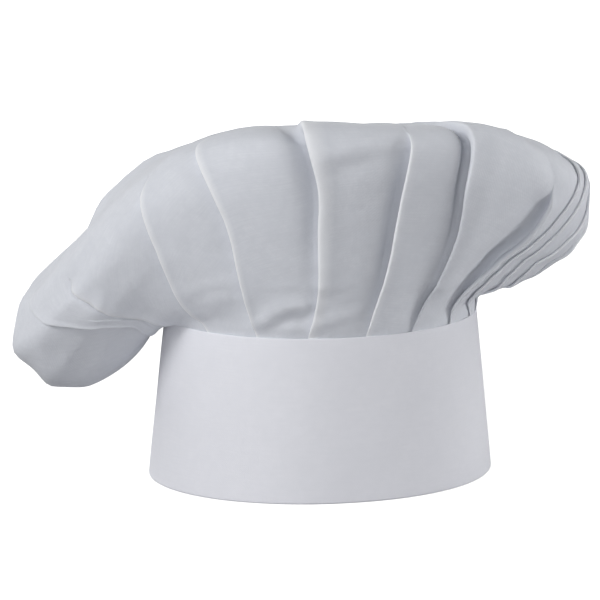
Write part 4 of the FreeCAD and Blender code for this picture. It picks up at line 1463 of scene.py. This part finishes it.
def make_world():
    scene.world = bpy.data.worlds.new("studio")
    shader = Shader(scene.world)
    light = shader.node("Background", {"Color": (0.97, 0.98, 1.0, 1), "Strength": 0.13})
    seen = shader.node("Background", {"Color": WHITE, "Strength": 1.0})
    switch = shader.camera_switch(light.outputs[0], seen.outputs[0])
    shader.node("OutputWorld", {0: switch})


# area lights, all aimed at LIGHT_AIM: name, place, size, power in watts
LIGHT_AIM = (0, 0, 0.11)
LIGHTS = [
    ("key", (-1.7, -1.2, 1.3), (0.9, 0.9), 26.0),
    ("front", (-0.3, -2.3, 0.5), (1.2, 0.9), 14.0),
    ("fill", (1.8, 0.1, 0.16), (0.7, 0.8), 17.5),
    ("right_front", (1.7, -1.0, 0.8), (0.7, 0.9), 1.4),
    ("rear", (1.3, 1.2, 1.3), (1.0, 1.0), 10.5),
    ("rear_left", (-1.3, 1.9, 0.9), (1.2, 1.2), 19.0),
]


def make_lights():
    for name, place, size, power in LIGHTS:
        light = bpy.data.lights.new(name, "AREA")
        light.shape = "RECTANGLE"
        light.size, light.size_y = size
        light.energy = power
        ob = bpy.data.objects.new(name, light)
        scene.collection.objects.link(ob)
        ob.location = place
        aim = Vector(LIGHT_AIM) - Vector(place)
        ob.rotation_euler = aim.to_track_quat("-Z", "Y").to_euler()

    # a little of the daylight that comes through the cloth
    glow = bpy.data.lights.new("inside", "POINT")
    glow.energy = 0.022
    glow.shadow_soft_size = 0.04
    ob = bpy.data.objects.new("inside", glow)
    scene.collection.objects.link(ob)
    ob.location = (0.0, 0.0, 0.075)


def make_camera():
    """A long lens from the front, a little above the seam and slightly rolled."""
    distance = 3.0
    elevation = math.radians(10.13)
    roll = math.radians(-1.18)
    target = Vector((-0.0113, 0, 0.09597))
    data = bpy.data.cameras.new("camera")
    data.sensor_width = 36.0
    data.lens = 322.86
    camera = bpy.data.objects.new("camera", data)
    scene.collection.objects.link(camera)
    scene.camera = camera
    away = Vector((0, -math.cos(elevation), math.sin(elevation)))
    eye = Vector((0, 0, SEAM * MM)) + distance * away
    aim = (target - eye).to_track_quat("-Z", "Y").to_matrix().to_4x4()
    camera.matrix_world = Matrix.Translation(eye) @ aim @ Matrix.Rotation(roll, 4, "Z")


make_floor()
make_world()
make_lights()
make_camera()
scene.view_settings.view_transform = "Standard"
scene.view_settings.look = "None"
